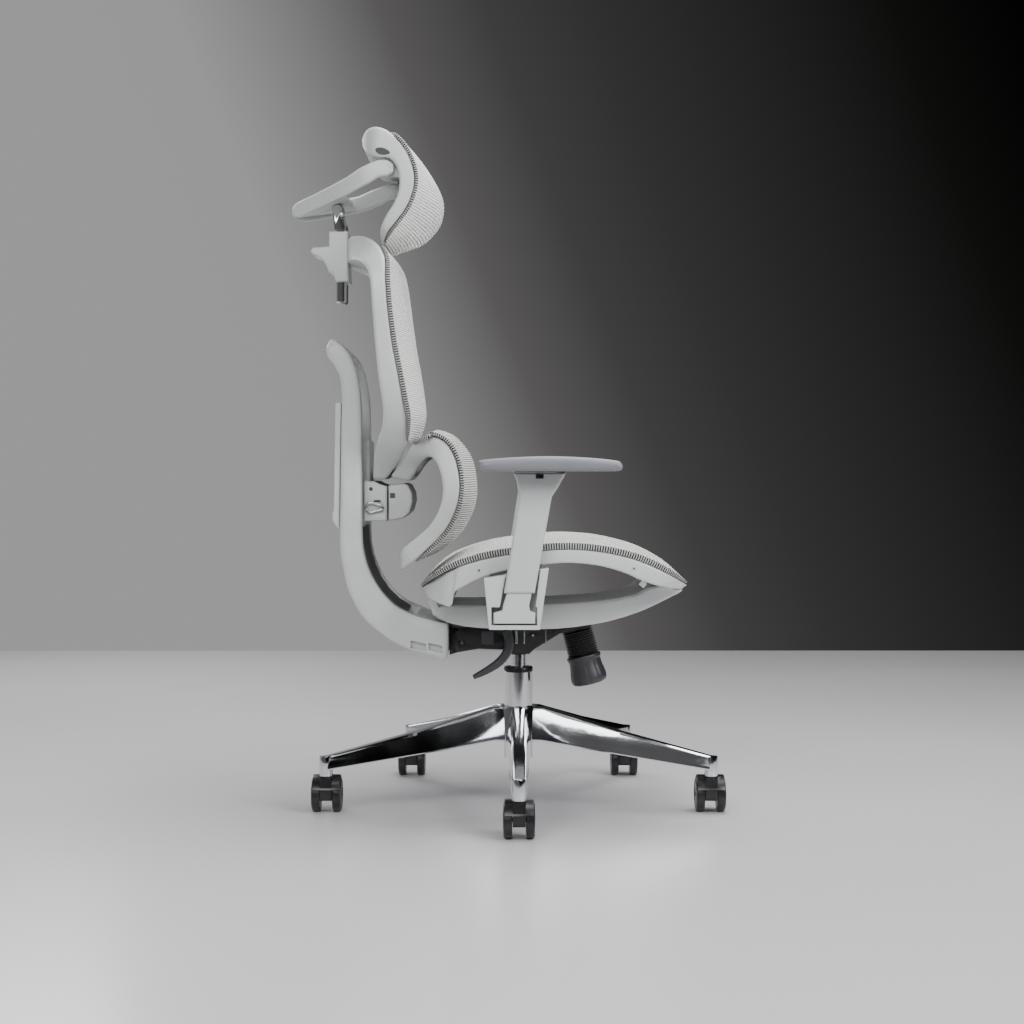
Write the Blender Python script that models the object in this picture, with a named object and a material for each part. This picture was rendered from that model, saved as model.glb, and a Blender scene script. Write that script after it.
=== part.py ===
"""Swivel office chair with a mesh seat, back, lumbar support and headrest on a five-leg base.

Metres, +Z up, +X is the way the sitter faces. Outlines are measured from the hub's axis.
"""
import math

import bmesh
import bpy
from mathutils import Matrix, Vector

HUB_X = 0.0193         # hub axis ahead of the middle of the whole chair
GAP = 0.0003           # between pieces that touch

LEG_ANGLES = (-90, -18, 54, 126, 198)
BASE_RADIUS = 0.350    # hub axis to caster stem
WHEEL_RADIUS = 0.030
WHEEL_IN, WHEEL_OUT = 0.01095, 0.02665
CASTER_TRAIL = 0.018
STEM_RADIUS = 0.0055
SOCKET_RADIUS = 0.0118

COLUMN_RADIUS = 0.025
ROD_RADIUS = 0.014
ARM_Y = 0.280          # middle of an arm post from the middle plane
ARM_LEAN = math.radians(9.6)
PAD_Y = 0.3175         # middle of an arm pad
RECLINE_AXIS = (-0.0988, 0.2925)
LEVER_AXIS = (-0.020, 0.305)
KNOB_TOP, KNOB_END = Vector((0.104, 0, 0.312)), Vector((0.129, 0, 0.209))
KNOB_WAY = (KNOB_END - KNOB_TOP).normalized()
YOKE_AXIS = (-0.319, 1.051)
HEAD_AXIS = (-0.2235, 1.106)
LOOP_AXIS = (-0.2350, 0.528)


# ---- the scene, materials and objects ----

for old in list(bpy.data.objects):
    bpy.data.objects.remove(old)

parts = bpy.data.collections.new("office_chair")
bpy.context.scene.collection.children.link(parts)
cutters = bpy.data.collections.new("cutters")
bpy.context.scene.collection.children.link(cutters)


def material(name, color, roughness, metallic=0.0):
    made = bpy.data.materials.new(name)
    made.use_nodes = True
    shader = made.node_tree.nodes["Principled BSDF"]
    shader.inputs["Base Color"].default_value = (*color, 1)
    shader.inputs["Roughness"].default_value = roughness
    shader.inputs["Metallic"].default_value = metallic
    return made


SHELL = material("grey_shell", (0.58, 0.60, 0.60), 0.42)
BLACK = material("black_plastic", (0.012, 0.012, 0.013), 0.30)
STEEL = material("black_steel", (0.02, 0.02, 0.022), 0.38)
CHARCOAL = material("charcoal_grip", (0.05, 0.05, 0.055), 0.45)
CHROME = material("chrome", (0.80, 0.80, 0.81), 0.08, 1.0)
ALLOY = material("polished_alloy", (0.78, 0.79, 0.80), 0.12, 1.0)
MESH = material("woven_mesh", (0.62, 0.62, 0.60), 0.80)
PAD = material("arm_pad", (0.25, 0.25, 0.26), 0.55)


def finish(name, bm, skin, pivot=(0, 0, 0)):
    """Makes the object, with its origin at the pivot, which is measured from the hub."""
    bmesh.ops.remove_doubles(bm, verts=bm.verts, dist=1e-6)
    bmesh.ops.recalc_face_normals(bm, faces=bm.faces)
    bmesh.ops.translate(bm, vec=-Vector(pivot), verts=bm.verts)
    data = bpy.data.meshes.new(name)
    bm.to_mesh(data)
    bm.free()
    data.materials.append(skin)
    made = bpy.data.objects.new(name, data)
    made.location = Vector(pivot) + Vector((HUB_X, 0, 0))
    parts.objects.link(made)
    return made


def boolean(bm, other, operation):
    """Joins or cuts one bmesh with another, exactly."""
    both = []
    for each in (bm, other):
        bmesh.ops.triangulate(each, faces=each.faces)
        bmesh.ops.recalc_face_normals(each, faces=each.faces)
        data = bpy.data.meshes.new("operand")
        each.to_mesh(data)
        each.free()
        made = bpy.data.objects.new("operand", data)
        cutters.objects.link(made)
        both.append(made)
    change = both[0].modifiers.new("boolean", "BOOLEAN")
    change.object = both[1]
    change.operation = operation
    change.solver = "EXACT"
    graph = bpy.context.evaluated_depsgraph_get()
    result = bmesh.new()
    result.from_mesh(both[0].evaluated_get(graph).to_mesh())
    for made in both:
        data = made.data
        bpy.data.objects.remove(made)
        bpy.data.meshes.remove(data)
    bmesh.ops.remove_doubles(result, verts=result.verts, dist=1e-6)
    return result


def union(bm, other):
    return boolean(bm, other, "UNION")


def cut(bm, other):
    return boolean(bm, other, "DIFFERENCE")


# ---- shapes ----

def box(low, high, bevel=0.0, segments=1):
    bm = bmesh.new()
    bmesh.ops.create_cube(bm, size=1)
    size = [b - a for a, b in zip(low, high)]
    bmesh.ops.scale(bm, vec=size, verts=bm.verts)
    bmesh.ops.translate(bm, vec=[(a + b) / 2 for a, b in zip(low, high)], verts=bm.verts)
    if bevel:
        round_edges(bm, bm.edges[:], bevel, segments)
    return bm


def round_edges(bm, edges, size, segments=1, clamp=True):
    bmesh.ops.bevel(bm, geom=edges, offset=size, segments=segments, profile=0.5,
                    affect="EDGES", clamp_overlap=clamp, material=-1)


def rims(bm):
    """The edges round the two flat faces of a plate."""
    return [e for e in bm.edges
            if abs(e.verts[0].co.z - e.verts[1].co.z) < 1e-7 and e.calc_face_angle(0) > 0.5]


def rod(start, end, radius, sides=24, radius_end=None):
    """A cylinder or cone between two points."""
    start, end = Vector(start), Vector(end)
    bm = bmesh.new()
    way = end - start
    turn = way.to_track_quat("Z", "Y").to_matrix().to_4x4()
    bmesh.ops.create_cone(bm, cap_ends=True, segments=sides, radius1=radius,
                          radius2=radius if radius_end is None else radius_end,
                          depth=way.length,
                          matrix=Matrix.Translation((start + end) / 2) @ turn)
    return bm


def turned(profile, start, end, sides=24):
    """A profile of (radius, distance) points turned round the line from start to end."""
    start, end = Vector(start), Vector(end)
    turn = (end - start).to_track_quat("Z", "Y").to_matrix().to_4x4()
    bm = bmesh.new()
    ring = [bm.verts.new((radius, 0, height)) for radius, height in profile]
    edges = [bm.edges.new(pair) for pair in zip(ring, ring[1:])]
    bmesh.ops.spin(bm, geom=ring + edges, cent=(0, 0, 0), axis=(0, 0, 1),
                   angle=math.tau, steps=sides, use_merge=True)
    bmesh.ops.remove_doubles(bm, verts=bm.verts, dist=1e-5)
    bmesh.ops.transform(bm, matrix=Matrix.Translation(start) @ turn, verts=bm.verts)
    return bm


def smooth(points, steps, closed=False):
    """A curve through the points, with this many steps between each two."""
    points = [Vector(p) for p in points]
    count = len(points)
    spans = count if closed else count - 1
    made = []
    for i in range(spans):
        if closed:
            a, b, c, d = (points[(i + k) % count] for k in (-1, 0, 1, 2))
        else:
            a, b = points[max(i - 1, 0)], points[i]
            c, d = points[i + 1], points[min(i + 2, count - 1)]
        for k in range(steps):
            t = k / steps
            made.append(b + (c - a) * (t / 2) + (2 * a - 5 * b + 4 * c - d) * (t * t / 2)
                        + (3 * b - a - 3 * c + d) * (t ** 3 / 2))
    return made if closed else made + [points[-1]]


def plate(loops, thickness):
    """A flat plate from closed outlines in XY, the later ones holes, from z = 0 up."""
    curve = bpy.data.curves.new("outline", "CURVE")
    curve.dimensions = "2D"
    curve.fill_mode = "BOTH"
    curve.extrude = thickness / 2
    for loop in loops:
        spline = curve.splines.new("POLY")
        spline.points.add(len(loop) - 1)
        for point, place in zip(spline.points, loop):
            point.co = (place[0], place[1], 0, 1)
        spline.use_cyclic_u = True
    made = bpy.data.objects.new("outline", curve)
    cutters.objects.link(made)
    graph = bpy.context.evaluated_depsgraph_get()
    data = bpy.data.meshes.new_from_object(made.evaluated_get(graph))
    bm = bmesh.new()
    bm.from_mesh(data)
    bpy.data.objects.remove(made)
    bpy.data.meshes.remove(data)
    bmesh.ops.remove_doubles(bm, verts=bm.verts, dist=1e-5)
    bmesh.ops.recalc_face_normals(bm, faces=bm.faces)
    bmesh.ops.translate(bm, vec=(0, 0, thickness / 2), verts=bm.verts)
    bmesh.ops.dissolve_limit(bm, angle_limit=0.001, verts=bm.verts, edges=bm.edges)
    return bm


def side_plate(outline, low, high, bevel=0.0, segments=1):
    """A plate whose outline is seen from the side, in (x, z), between two y values."""
    bm = plate([outline], high - low)
    if bevel:
        round_edges(bm, rims(bm), bevel, segments)
    bmesh.ops.transform(bm, matrix=Matrix(((1, 0, 0, 0), (0, 0, -1, high), (0, 1, 0, 0),
                                           (0, 0, 0, 1))), verts=bm.verts)
    return bm


def move(bm, change):
    """Bends a shape. Its flat faces are triangles first, so that none folds over itself."""
    bmesh.ops.triangulate(bm, faces=bm.faces)
    for vert in bm.verts:
        vert.co = change(vert.co)
    return bm


def rails(stations, steps=5):
    """Two matched side curves, (x, z) of the back face and of the front face, by length."""
    points = smooth([(a, b, c, d) for a, b, c, d in stations], steps)
    lengths = [0.0]
    for last, here in zip(points, points[1:]):
        step = Vector((here[0] + here[2] - last[0] - last[2],
                       here[1] + here[3] - last[1] - last[3]))
        lengths.append(lengths[-1] + step.length / 2)
    return lengths, points


def on_rails(track, along, part):
    """The (x, z) at this length, from the back curve (part 0) to the front curve (part 1)."""
    lengths, points = track
    along = min(max(along, 0), lengths[-1])
    i = 0
    while i < len(lengths) - 2 and lengths[i + 1] < along:
        i += 1
    t = (along - lengths[i]) / (lengths[i + 1] - lengths[i])
    here = points[i].lerp(points[i + 1], t)
    return (here[0] + (here[2] - here[0]) * part, here[1] + (here[3] - here[1]) * part)


def widths(table):
    """A half-width that varies along the length, through (length, half-width) pairs."""
    points = smooth(table, 6)

    def at(along):
        if along <= points[0][0]:
            return points[0][1]
        for last, here in zip(points, points[1:]):
            if along <= here[0]:
                return last[1] + (here[1] - last[1]) * (along - last[0]) / (here[0] - last[0])
        return points[-1][1]
    return at


def rounded(start, end, half, corner, corner_steps=4, side_steps=8):
    """A loop from start to end with rounded corners of (length, width), and sides at half."""
    (start_long, start_wide), (end_long, end_wide) = corner
    side = []
    for i in range(corner_steps + 1):
        turn = math.pi / 2 * i / corner_steps
        along = start + start_long * (1 - math.cos(turn))
        side.append((along, half(along) - start_wide * (1 - math.sin(turn))))
    for i in range(1, side_steps):
        along = start + start_long + (end - start - start_long - end_long) * i / side_steps
        side.append((along, half(along)))
    for i in range(corner_steps + 1):
        turn = math.pi / 2 * (1 - i / corner_steps)
        along = end - end_long * (1 - math.cos(turn))
        side.append((along, half(along) - end_wide * (1 - math.sin(turn))))
    return side + [(x, -y) for x, y in reversed(side)]


def bent(loops, track, bevel=0.003, cuts=14, low=0.0, high=1.0):
    """A flat plate of (length, y) outlines, bent so that its faces lie on the two rails."""
    thickness = 0.02
    bm = plate(loops, thickness)
    if bevel:
        round_edges(bm, rims(bm), bevel, clamp=False)
    for i in range(1, cuts):
        place = track[0][-1] * i / cuts
        bmesh.ops.bisect_plane(bm, geom=bm.verts[:] + bm.edges[:] + bm.faces[:], dist=1e-5,
                               plane_co=(place, 0, 0), plane_no=(1, 0, 0))

    def change(co):
        x, z = on_rails(track, co.x, low + (high - low) * co.z / thickness)
        return Vector((x, co.y, z))
    return move(bm, change)


def edge_at(loop, along):
    """The half-width of a loop from rounded() at this length."""
    side = loop[:len(loop) // 2]
    for last, here in zip(side, side[1:]):
        if along <= here[0]:
            step = max(here[0] - last[0], 1e-9)
            return last[1] + (here[1] - last[1]) * min(max((along - last[0]) / step, 0), 1)
    return side[-1][1]


def panel(loop, track, start, end, edge=0.008, thin=0.0025, cuts=8):
    """A taut sheet, thick at its sewn sides. The rails are its edge and its middle."""
    wide = max(place[1] for place in loop)
    points = track[1]
    middle = points[len(points) // 2]
    facing = Vector((middle[2] - middle[0], 0, middle[3] - middle[1]))
    bm = plate([loop], 1.0)
    for i in range(1, cuts):
        for place, way in (((start + (end - start) * i / cuts, 0, 0), (1, 0, 0)),
                           ((0, wide * (2 * i / cuts - 1), 0), (0, 1, 0))):
            bmesh.ops.bisect_plane(bm, geom=bm.verts[:] + bm.edges[:] + bm.faces[:],
                                   dist=1e-5, plane_co=place, plane_no=way)

    def change(co):
        across = min(abs(co.y) / edge_at(loop, co.x), 1)
        endness = abs(2 * (co.x - start) / (end - start) - 1)
        rim = across ** 10 * (1 - endness ** 8)
        part = 1 - across ** 2.5
        x, z = on_rails(track, co.x, part)
        x2, z2 = on_rails(track, co.x + 0.002, part)
        x1, z1 = on_rails(track, co.x - 0.002, part)
        out = Vector((z2 - z1, 0, x1 - x2)).normalized()
        if out.dot(facing) < 0:
            out = -out
        depth = thin + (edge - thin) * rim
        return Vector((x, co.y, z)) + out * (depth * co.z + 2 * GAP)
    return move(bm, change)


def wire(points, radius, closed=False, sides=2, resolution=4):
    """A round wire through the points."""
    curve = bpy.data.curves.new("wire", "CURVE")
    curve.dimensions = "3D"
    curve.bevel_depth = radius
    curve.bevel_resolution = sides
    curve.resolution_u = resolution
    curve.use_fill_caps = True
    spline = curve.splines.new("BEZIER")
    spline.bezier_points.add(len(points) - 1)
    for point, place in zip(spline.bezier_points, points):
        point.co = place
        point.handle_left_type = point.handle_right_type = "AUTO"
    spline.use_cyclic_u = closed
    made = bpy.data.objects.new("wire", curve)
    cutters.objects.link(made)
    graph = bpy.context.evaluated_depsgraph_get()
    data = bpy.data.meshes.new_from_object(made.evaluated_get(graph))
    bm = bmesh.new()
    bm.from_mesh(data)
    bpy.data.objects.remove(made)
    bpy.data.meshes.remove(data)
    bmesh.ops.remove_doubles(bm, verts=bm.verts, dist=1e-6)
    return bm


def loft(sections):
    """A closed body through rings of equal count, for ends that differ."""
    bm = bmesh.new()
    rings = [[bm.verts.new(place) for place in ring] for ring in sections]
    count = len(rings[0])
    for first, second in zip(rings, rings[1:]):
        for i in range(count):
            k = (i + 1) % count
            bm.faces.new((first[i], first[k], second[k], second[i]))
    bm.faces.new(rings[0][::-1])
    bm.faces.new(rings[-1])
    bmesh.ops.recalc_face_normals(bm, faces=bm.faces)
    return bm


# ---- base and casters ----

HUB_TOP, HUB_BOTTOM = 0.1720, 0.1120
TIP_TOP, TIP_BOTTOM = 0.0990, 0.0760
SOCKET_BOTTOM = 0.0650


def leg_section(distance, top, bottom, top_half, low_half):
    """Narrow flat top, sides that slope out, and a low flange."""
    height = top - bottom
    half = [(low_half, bottom), (low_half, bottom + 0.10 * height),
            (low_half - 0.18 * (low_half - top_half), bottom + 0.22 * height),
            (top_half + 0.0015, top - 0.12 * height), (top_half - 0.0015, top)]
    return [(distance, y, z) for y, z in half] + [(distance, -y, z) for y, z in reversed(half)]


def base_star():
    bm = rod((0, 0, HUB_BOTTOM), (0, 0, HUB_TOP), 0.040, 30, 0.0345)
    for angle in LEG_ANGLES:
        leg = loft([leg_section(0.010, HUB_TOP - 0.001, HUB_BOTTOM + 0.001, 0.0130, 0.0225),
                    leg_section(0.050, HUB_TOP - 0.001, HUB_BOTTOM + 0.001, 0.0130, 0.0225),
                    leg_section(0.190, 0.1345, 0.0945, 0.0110, 0.0180),
                    leg_section(BASE_RADIUS, TIP_TOP, TIP_BOTTOM, 0.0090, 0.0125)])
        tip = rod((BASE_RADIUS, 0, SOCKET_BOTTOM), (BASE_RADIUS, 0, TIP_TOP - 0.0005),
                  SOCKET_RADIUS, 16)
        leg = union(leg, tip)
        leg = cut(leg, rod((BASE_RADIUS, 0, 0.05), (BASE_RADIUS, 0, 0.0915),
                           STEM_RADIUS + 2 * GAP, 12))
        bmesh.ops.rotate(leg, matrix=Matrix.Rotation(math.radians(angle), 3, "Z"),
                         verts=leg.verts)
        bm = union(bm, leg)
    bm = cut(bm, rod((0, 0, 0.05), (0, 0, 0.30), COLUMN_RADIUS + GAP, 30))
    finish("base_star", bm, ALLOY)


def caster_housing():
    """Hood and centre block of a twin-wheel caster, with the stem at x = y = 0."""
    axle_y, axle_z = CASTER_TRAIL, WHEEL_RADIUS
    hood_radius = WHEEL_RADIUS + 0.0025
    arc = [(axle_y + hood_radius * math.cos(math.radians(a)),
            axle_z + hood_radius * math.sin(math.radians(a))) for a in range(10, 107, 32)]
    outline = arc + [(-0.0118, 0.0612), (-0.0118, 0.0250), (0.006, 0.0250),
                     (axle_y - 0.002, 0.018), (axle_y + 0.008, 0.020), (axle_y + 0.012, 0.030)]
    core = WHEEL_IN - 0.0006
    bm = side_plate(outline, -core, core)
    bmesh.ops.rotate(bm, matrix=Matrix.Rotation(math.pi / 2, 3, "Z"), verts=bm.verts)
    bm = union(bm, rod((0, 0, 0.0604), (0, 0, 0.0640), 0.0118, 16))
    low = WHEEL_RADIUS + 0.0018
    cover = [(axle_y + (low + 0.0022) * math.cos(math.radians(a)),
              axle_z + (low + 0.0022) * math.sin(math.radians(a))) for a in range(25, 161, 27)]
    cover += [(axle_y + low * math.cos(math.radians(a)),
               axle_z + low * math.sin(math.radians(a))) for a in range(160, 24, -27)]
    hood = side_plate(cover, -0.0235, 0.0235)
    bmesh.ops.rotate(hood, matrix=Matrix.Rotation(math.pi / 2, 3, "Z"), verts=hood.verts)
    bm = union(bm, hood)
    bm = union(bm, rod((-WHEEL_OUT + 0.004, axle_y, axle_z), (WHEEL_OUT - 0.004, axle_y, axle_z),
                       0.0035, 8))
    return cut(bm, rod((0, 0, 0.040), (0, 0, 0.08), STEM_RADIUS + 2 * GAP, 12))


def caster_wheel(side):
    profile = [(0.0040, WHEEL_IN), (0.0285, WHEEL_IN), (WHEEL_RADIUS, WHEEL_IN + 0.0018),
               (WHEEL_RADIUS, WHEEL_OUT - 0.0050), (0.0275, WHEEL_OUT - 0.0010),
               (0.0040, WHEEL_OUT), (0.0040, WHEEL_IN)]
    start = Vector((0, CASTER_TRAIL, WHEEL_RADIUS))
    return turned(profile, start, start + Vector((side, 0, 0)), 24)


def casters():
    for number, angle in enumerate(LEG_ANGLES, 1):
        stem = Vector((BASE_RADIUS * math.cos(math.radians(angle)),
                       BASE_RADIUS * math.sin(math.radians(angle)), 0))
        pieces = [("stem", rod((0, 0, 0.0405), (0, 0, 0.0910), STEM_RADIUS, 12), CHROME, stem),
                  ("housing", caster_housing(), BLACK, stem)]
        axle = stem + Vector((0, CASTER_TRAIL, WHEEL_RADIUS))
        for letter, side in (("a", -1), ("b", 1)):
            pieces.append((f"wheel_{letter}", caster_wheel(side), BLACK,
                           axle + Vector((side * (WHEEL_IN + WHEEL_OUT) / 2, 0, 0))))
        for kind, bm, skin, pivot in pieces:
            bmesh.ops.translate(bm, vec=stem, verts=bm.verts)
            finish(f"caster_{number}_{kind}", bm, skin, pivot)


# ---- gas lift ----

def lift():
    tube = rod((0, 0, 0.080), (0, 0, 0.2350), COLUMN_RADIUS, 30)
    tube = cut(tube, rod((0, 0, 0.098), (0, 0, 0.30), ROD_RADIUS + 0.0012, 24))
    tube = cut(tube, rod((0, 0, 0.2200), (0, 0, 0.30), 0.0205, 24))
    finish("lift_tube", tube, CHROME)
    collar = turned([(ROD_RADIUS + GAP, 0.2205), (0.0202, 0.2205), (0.0202, 0.2353),
                     (0.0250, 0.2353), (0.0256, 0.2370), (0.0256, 0.2412), (0.0245, 0.2430),
                     (ROD_RADIUS + GAP, 0.2430), (ROD_RADIUS + GAP, 0.2205)],
                    (0, 0, 0), (0, 0, 1), 24)
    finish("lift_collar", collar, BLACK)
    bar = turned([(0, 0.110), (ROD_RADIUS, 0.110), (ROD_RADIUS, 0.2650), (0.0125, 0.2665),
                  (0.0125, 0.2950), (0, 0.2950)], (0, 0, 0), (0, 0, 1), 24)
    finish("lift_rod", bar, CHROME)


# ---- tilt mechanism ----

def tilt_housing():
    half = 0.074
    outline = [(-0.080, 0.2815), (-0.026, 0.2795), (-0.0125, 0.2720), (0.0190, 0.2720),
               (0.0270, 0.2800), (0.0760, 0.3100), (0.0860, 0.3150), (0.0860, 0.3175),
               (-0.0780, 0.3175)]
    bm = side_plate(outline, -half, half, 0.0015)
    cheek = [(-0.070, 0.3172), (-0.070, 0.2812), (-0.104, 0.2752), (-0.1150, 0.2840),
             (-0.1165, 0.2950), (-0.1120, 0.3080), (-0.100, 0.3170)]
    for low, high in ((-half, -0.0605), (0.0605, half)):
        bm = union(bm, side_plate(cheek, low, high))
    x, z = RECLINE_AXIS
    bm = cut(bm, rod((x, -0.09, z), (x, 0.09, z), 0.0050 + GAP, 16))
    bm = union(bm, rod((0, 0, 0.2690), (0, 0, 0.2800), 0.0195, 24, 0.030))
    bm = cut(bm, rod((0, 0, 0.2600), (0, 0, 0.2955), 0.0125 + GAP, 24))
    bm = cut(bm, rod((0, 0, 0.2600), (0, 0, 0.2672), ROD_RADIUS + GAP, 24))
    boss = [(0.060, 0.3172), (0.060, 0.302), (0.084, 0.3050), (0.1290, 0.3165), (0.1290, 0.3195)]
    bm = union(bm, side_plate(boss, -0.030, 0.030, 0.0015))
    bm = cut(bm, rod(KNOB_TOP - KNOB_WAY * 0.02, KNOB_TOP + KNOB_WAY * 0.05,
                     0.0060 + GAP, 16))
    bm = cut(bm, rod((LEVER_AXIS[0], -0.08, LEVER_AXIS[1]), (LEVER_AXIS[0], -0.055,
                                                             LEVER_AXIS[1]), 0.0060 + GAP, 16))
    finish("tilt_housing", bm, STEEL)


def tilt_carrier():
    """The block that the spine is bolted to. It turns on the pivot pin between the cheeks."""
    x, z = RECLINE_AXIS
    arc = [(x + 0.0160 * math.cos(math.radians(a)), z + 0.0160 * math.sin(math.radians(a)))
           for a in range(-70, 71, 20)]
    outline = [(-0.1208, 0.2690)] + arc + [(-0.1208, 0.3165)]
    bm = side_plate(outline, -0.0600, 0.0600, 0.001)
    bm = cut(bm, rod((x, -0.09, z), (x, 0.09, z), 0.0050 + GAP, 16))
    finish("tilt_carrier", bm, STEEL, (x, 0, z))
    finish("tilt_pin", rod((x, -0.0765, z), (x, 0.0765, z), 0.0050, 16), CHROME, (x, 0, z))


def height_lever():
    """A bar out of the housing's side with a curved paddle that hangs back and down."""
    path = smooth([(-0.0205, 0.3140), (-0.0165, 0.2980), (-0.0190, 0.2790), (-0.0330, 0.2600),
                   (-0.0560, 0.2445), (-0.0780, 0.2335)], 3)
    rings = []
    for i, place in enumerate(path):
        way = path[min(i + 1, len(path) - 1)] - path[max(i - 1, 0)]
        side = Vector((way[1], -way[0])).normalized()
        t = i / (len(path) - 1)
        deep = 0.0082 - 0.0047 * t ** 3
        wide = 0.0060 + 0.0070 * t
        mid_y = -0.0885
        ring = []
        for across, out in ((1, -0.5), (0.6, -1), (-0.6, -1), (-1, -0.5),
                            (-1, 0.5), (-0.6, 1), (0.6, 1), (1, 0.5)):
            ring.append((place[0] + side[0] * deep * across, mid_y + wide * out,
                         place[1] + side[1] * deep * across))
        rings.append(ring)
    bm = loft(rings)
    x, z = LEVER_AXIS
    bm = union(bm, rod((x, -0.0900, z), (x, -0.0560, z), 0.0060, 16))
    finish("height_lever", bm, CHARCOAL, (x, 0, z))


def tension_knob():
    start = KNOB_TOP + KNOB_WAY * 0.0005
    folds = [(0.0065, 0.0)]
    for i in range(5):
        folds += [(0.0250, 0.0004 + i * 0.0087), (0.0278, 0.0048 + i * 0.0087)]
    folds += [(0.0250, 0.0440), (0.0065, 0.0440)]
    bellows = turned(folds + [folds[0]], start + KNOB_WAY * 0.0045, KNOB_END, 18)
    finish("tension_bellows", bellows, BLACK, start)
    grip = turned([(0, 0.0), (0.0060, 0.0), (0.0060, 0.0555), (0.0278, 0.0555), (0.0300, 0.0585),
                   (0.0318, 0.0740), (0.0328, 0.0940), (0.0310, 0.1030), (0.0250, 0.1075),
                   (0.0, 0.1090)], start - KNOB_WAY * 0.006, KNOB_END, 20)
    finish("tension_knob", grip, CHARCOAL, start)


# ---- seat ----

# (x, z) of the underside and of the top, from the back of the seat to its front lip.
RIM = [(-0.163, 0.385, -0.168, 0.391), (-0.148, 0.377, -0.143, 0.4095),
       (-0.128, 0.370, -0.121, 0.4230), (-0.1125, 0.3675, -0.107, 0.4295),
       (-0.1075, 0.3890, -0.101, 0.4325), (-0.098, 0.3970, -0.090, 0.4370),
       (-0.060, 0.4165, -0.054, 0.4470), (-0.010, 0.4305, -0.010, 0.4545),
       (0.050, 0.4385, 0.050, 0.4610), (0.090, 0.4400, 0.090, 0.4620),
       (0.135, 0.4350, 0.135, 0.4580), (0.176, 0.4230, 0.180, 0.4485),
       (0.202, 0.4110, 0.214, 0.4365), (0.232, 0.4010, 0.250, 0.4190),
       (0.262, 0.3940, 0.273, 0.4060), (0.281, 0.3915, 0.288, 0.3965)]
TRAY = [(-0.150, 0.3405, -0.146, 0.3520), (-0.1315, 0.3327, -0.130, 0.3590),
        (-0.105, 0.3245, -0.105, 0.3590), (-0.056, 0.3195, -0.056, 0.3590),
        (0.026, 0.3181, 0.026, 0.3603), (0.092, 0.3215, 0.092, 0.3633),
        (0.158, 0.3327, 0.152, 0.3685), (0.207, 0.3492, 0.200, 0.3790),
        (0.238, 0.3650, 0.222, 0.3925), (0.262, 0.3790, 0.240, 0.3960),
        (0.281, 0.3895, 0.2805, 0.3912)]
# (x, z) of the sheet's edge and of its middle.
SEAT_SHEET = [(-0.166, 0.3935, -0.166, 0.3945), (-0.141, 0.4125, -0.141, 0.4190),
              (-0.107, 0.4310, -0.107, 0.4420), (-0.054, 0.4475, -0.054, 0.4610),
              (0.000, 0.4565, 0.000, 0.4710), (0.050, 0.4615, 0.050, 0.4770),
              (0.090, 0.4625, 0.090, 0.4780), (0.135, 0.4585, 0.135, 0.4745),
              (0.180, 0.4490, 0.180, 0.4650), (0.214, 0.4370, 0.216, 0.4530),
              (0.250, 0.4195, 0.252, 0.4330), (0.273, 0.4065, 0.275, 0.4130),
              (0.287, 0.3985, 0.288, 0.4000)]


def seat_frame():
    track = rails(RIM)
    whole = track[0][-1]
    outer = widths([(0.0, 0.205), (0.06, 0.238), (0.16, 0.250), (0.30, 0.250),
                    (0.40, 0.243), (whole, 0.215)])
    inner = widths([(0.0, 0.180), (0.06, 0.212), (0.16, 0.224), (0.30, 0.224),
                    (0.40, 0.217), (whole, 0.190)])
    loops = [rounded(0.0, whole, outer, ((0.050, 0.075), (0.060, 0.090)), 5, 10),
             rounded(0.058, whole - 0.048, inner, ((0.030, 0.050), (0.040, 0.060)), 4, 9)]
    finish("seat_frame", bent(loops, track, 0.0025, 16), SHELL)


def arm_shoulder():
    """The trough-shaped cross beam that carries both arms and holds up the rim."""
    floor_y, wall_y, lip_y = 0.2620, 0.2380, 0.2880
    outline = [(-lip_y, 0.3330), (-0.110, 0.3190), (0.110, 0.3190), (lip_y, 0.3330),
               (lip_y, 0.4240), (wall_y, 0.4240), (0.2200, 0.3700), (0.180, 0.3595),
               (-0.180, 0.3595), (-0.2200, 0.3700), (-wall_y, 0.4240), (-lip_y, 0.4240)]
    bm = plate([outline], 0.098)
    bmesh.ops.transform(bm, matrix=Matrix(((0, 0, 1, -0.056), (1, 0, 0, 0), (0, 1, 0, 0),
                                           (0, 0, 0, 1))), verts=bm.verts)

    def taper(co):
        up = (co.z - 0.336) / 0.104
        front = 0.0345 + 0.0165 * up
        back = -0.0490 - 0.0095 * up
        x = front if co.x > 0 else back
        rise = 0.0085 if co.x > 0 else -0.0085
        return Vector((x, co.y, co.z + (rise if co.z > 0.42 else 0)))
    move(bm, taper)
    for side in (-1, 1):
        y = sorted((side * floor_y, side * 0.30))
        notch = box((-0.0450, y[0], 0.3400), (0.0300, y[1], 0.3700))
        bm = cut(bm, notch)
        channel = side_plate([(-0.0315, 0.3690), (0.0270, 0.3690), (0.0390, 0.4600),
                              (-0.0155, 0.4600)], y[0], y[1])
        bm = cut(bm, channel)
    return bm


def seat_carrier():
    track = rails(TRAY)
    whole = track[0][-1]
    half = widths([(0.0, 0.105), (0.20, 0.110), (0.32, 0.112), (0.38, 0.135), (whole, 0.185)])
    loop = rounded(0.0, whole, half, ((0.015, 0.020), (0.030, 0.060)), 3, 10)
    bm = union(bent([loop], track, 0.0025, 16), arm_shoulder())
    for side in (-1, 1):
        y = sorted((side * 0.078, side * 0.104))
        lug = side_plate([(-0.1600, 0.3800), (-0.1450, 0.3725), (-0.1320, 0.3400),
                          (-0.1480, 0.3420)], y[0], y[1], 0.0015)
        bm = union(bm, lug)
    finish("seat_carrier", bm, SHELL)


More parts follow.
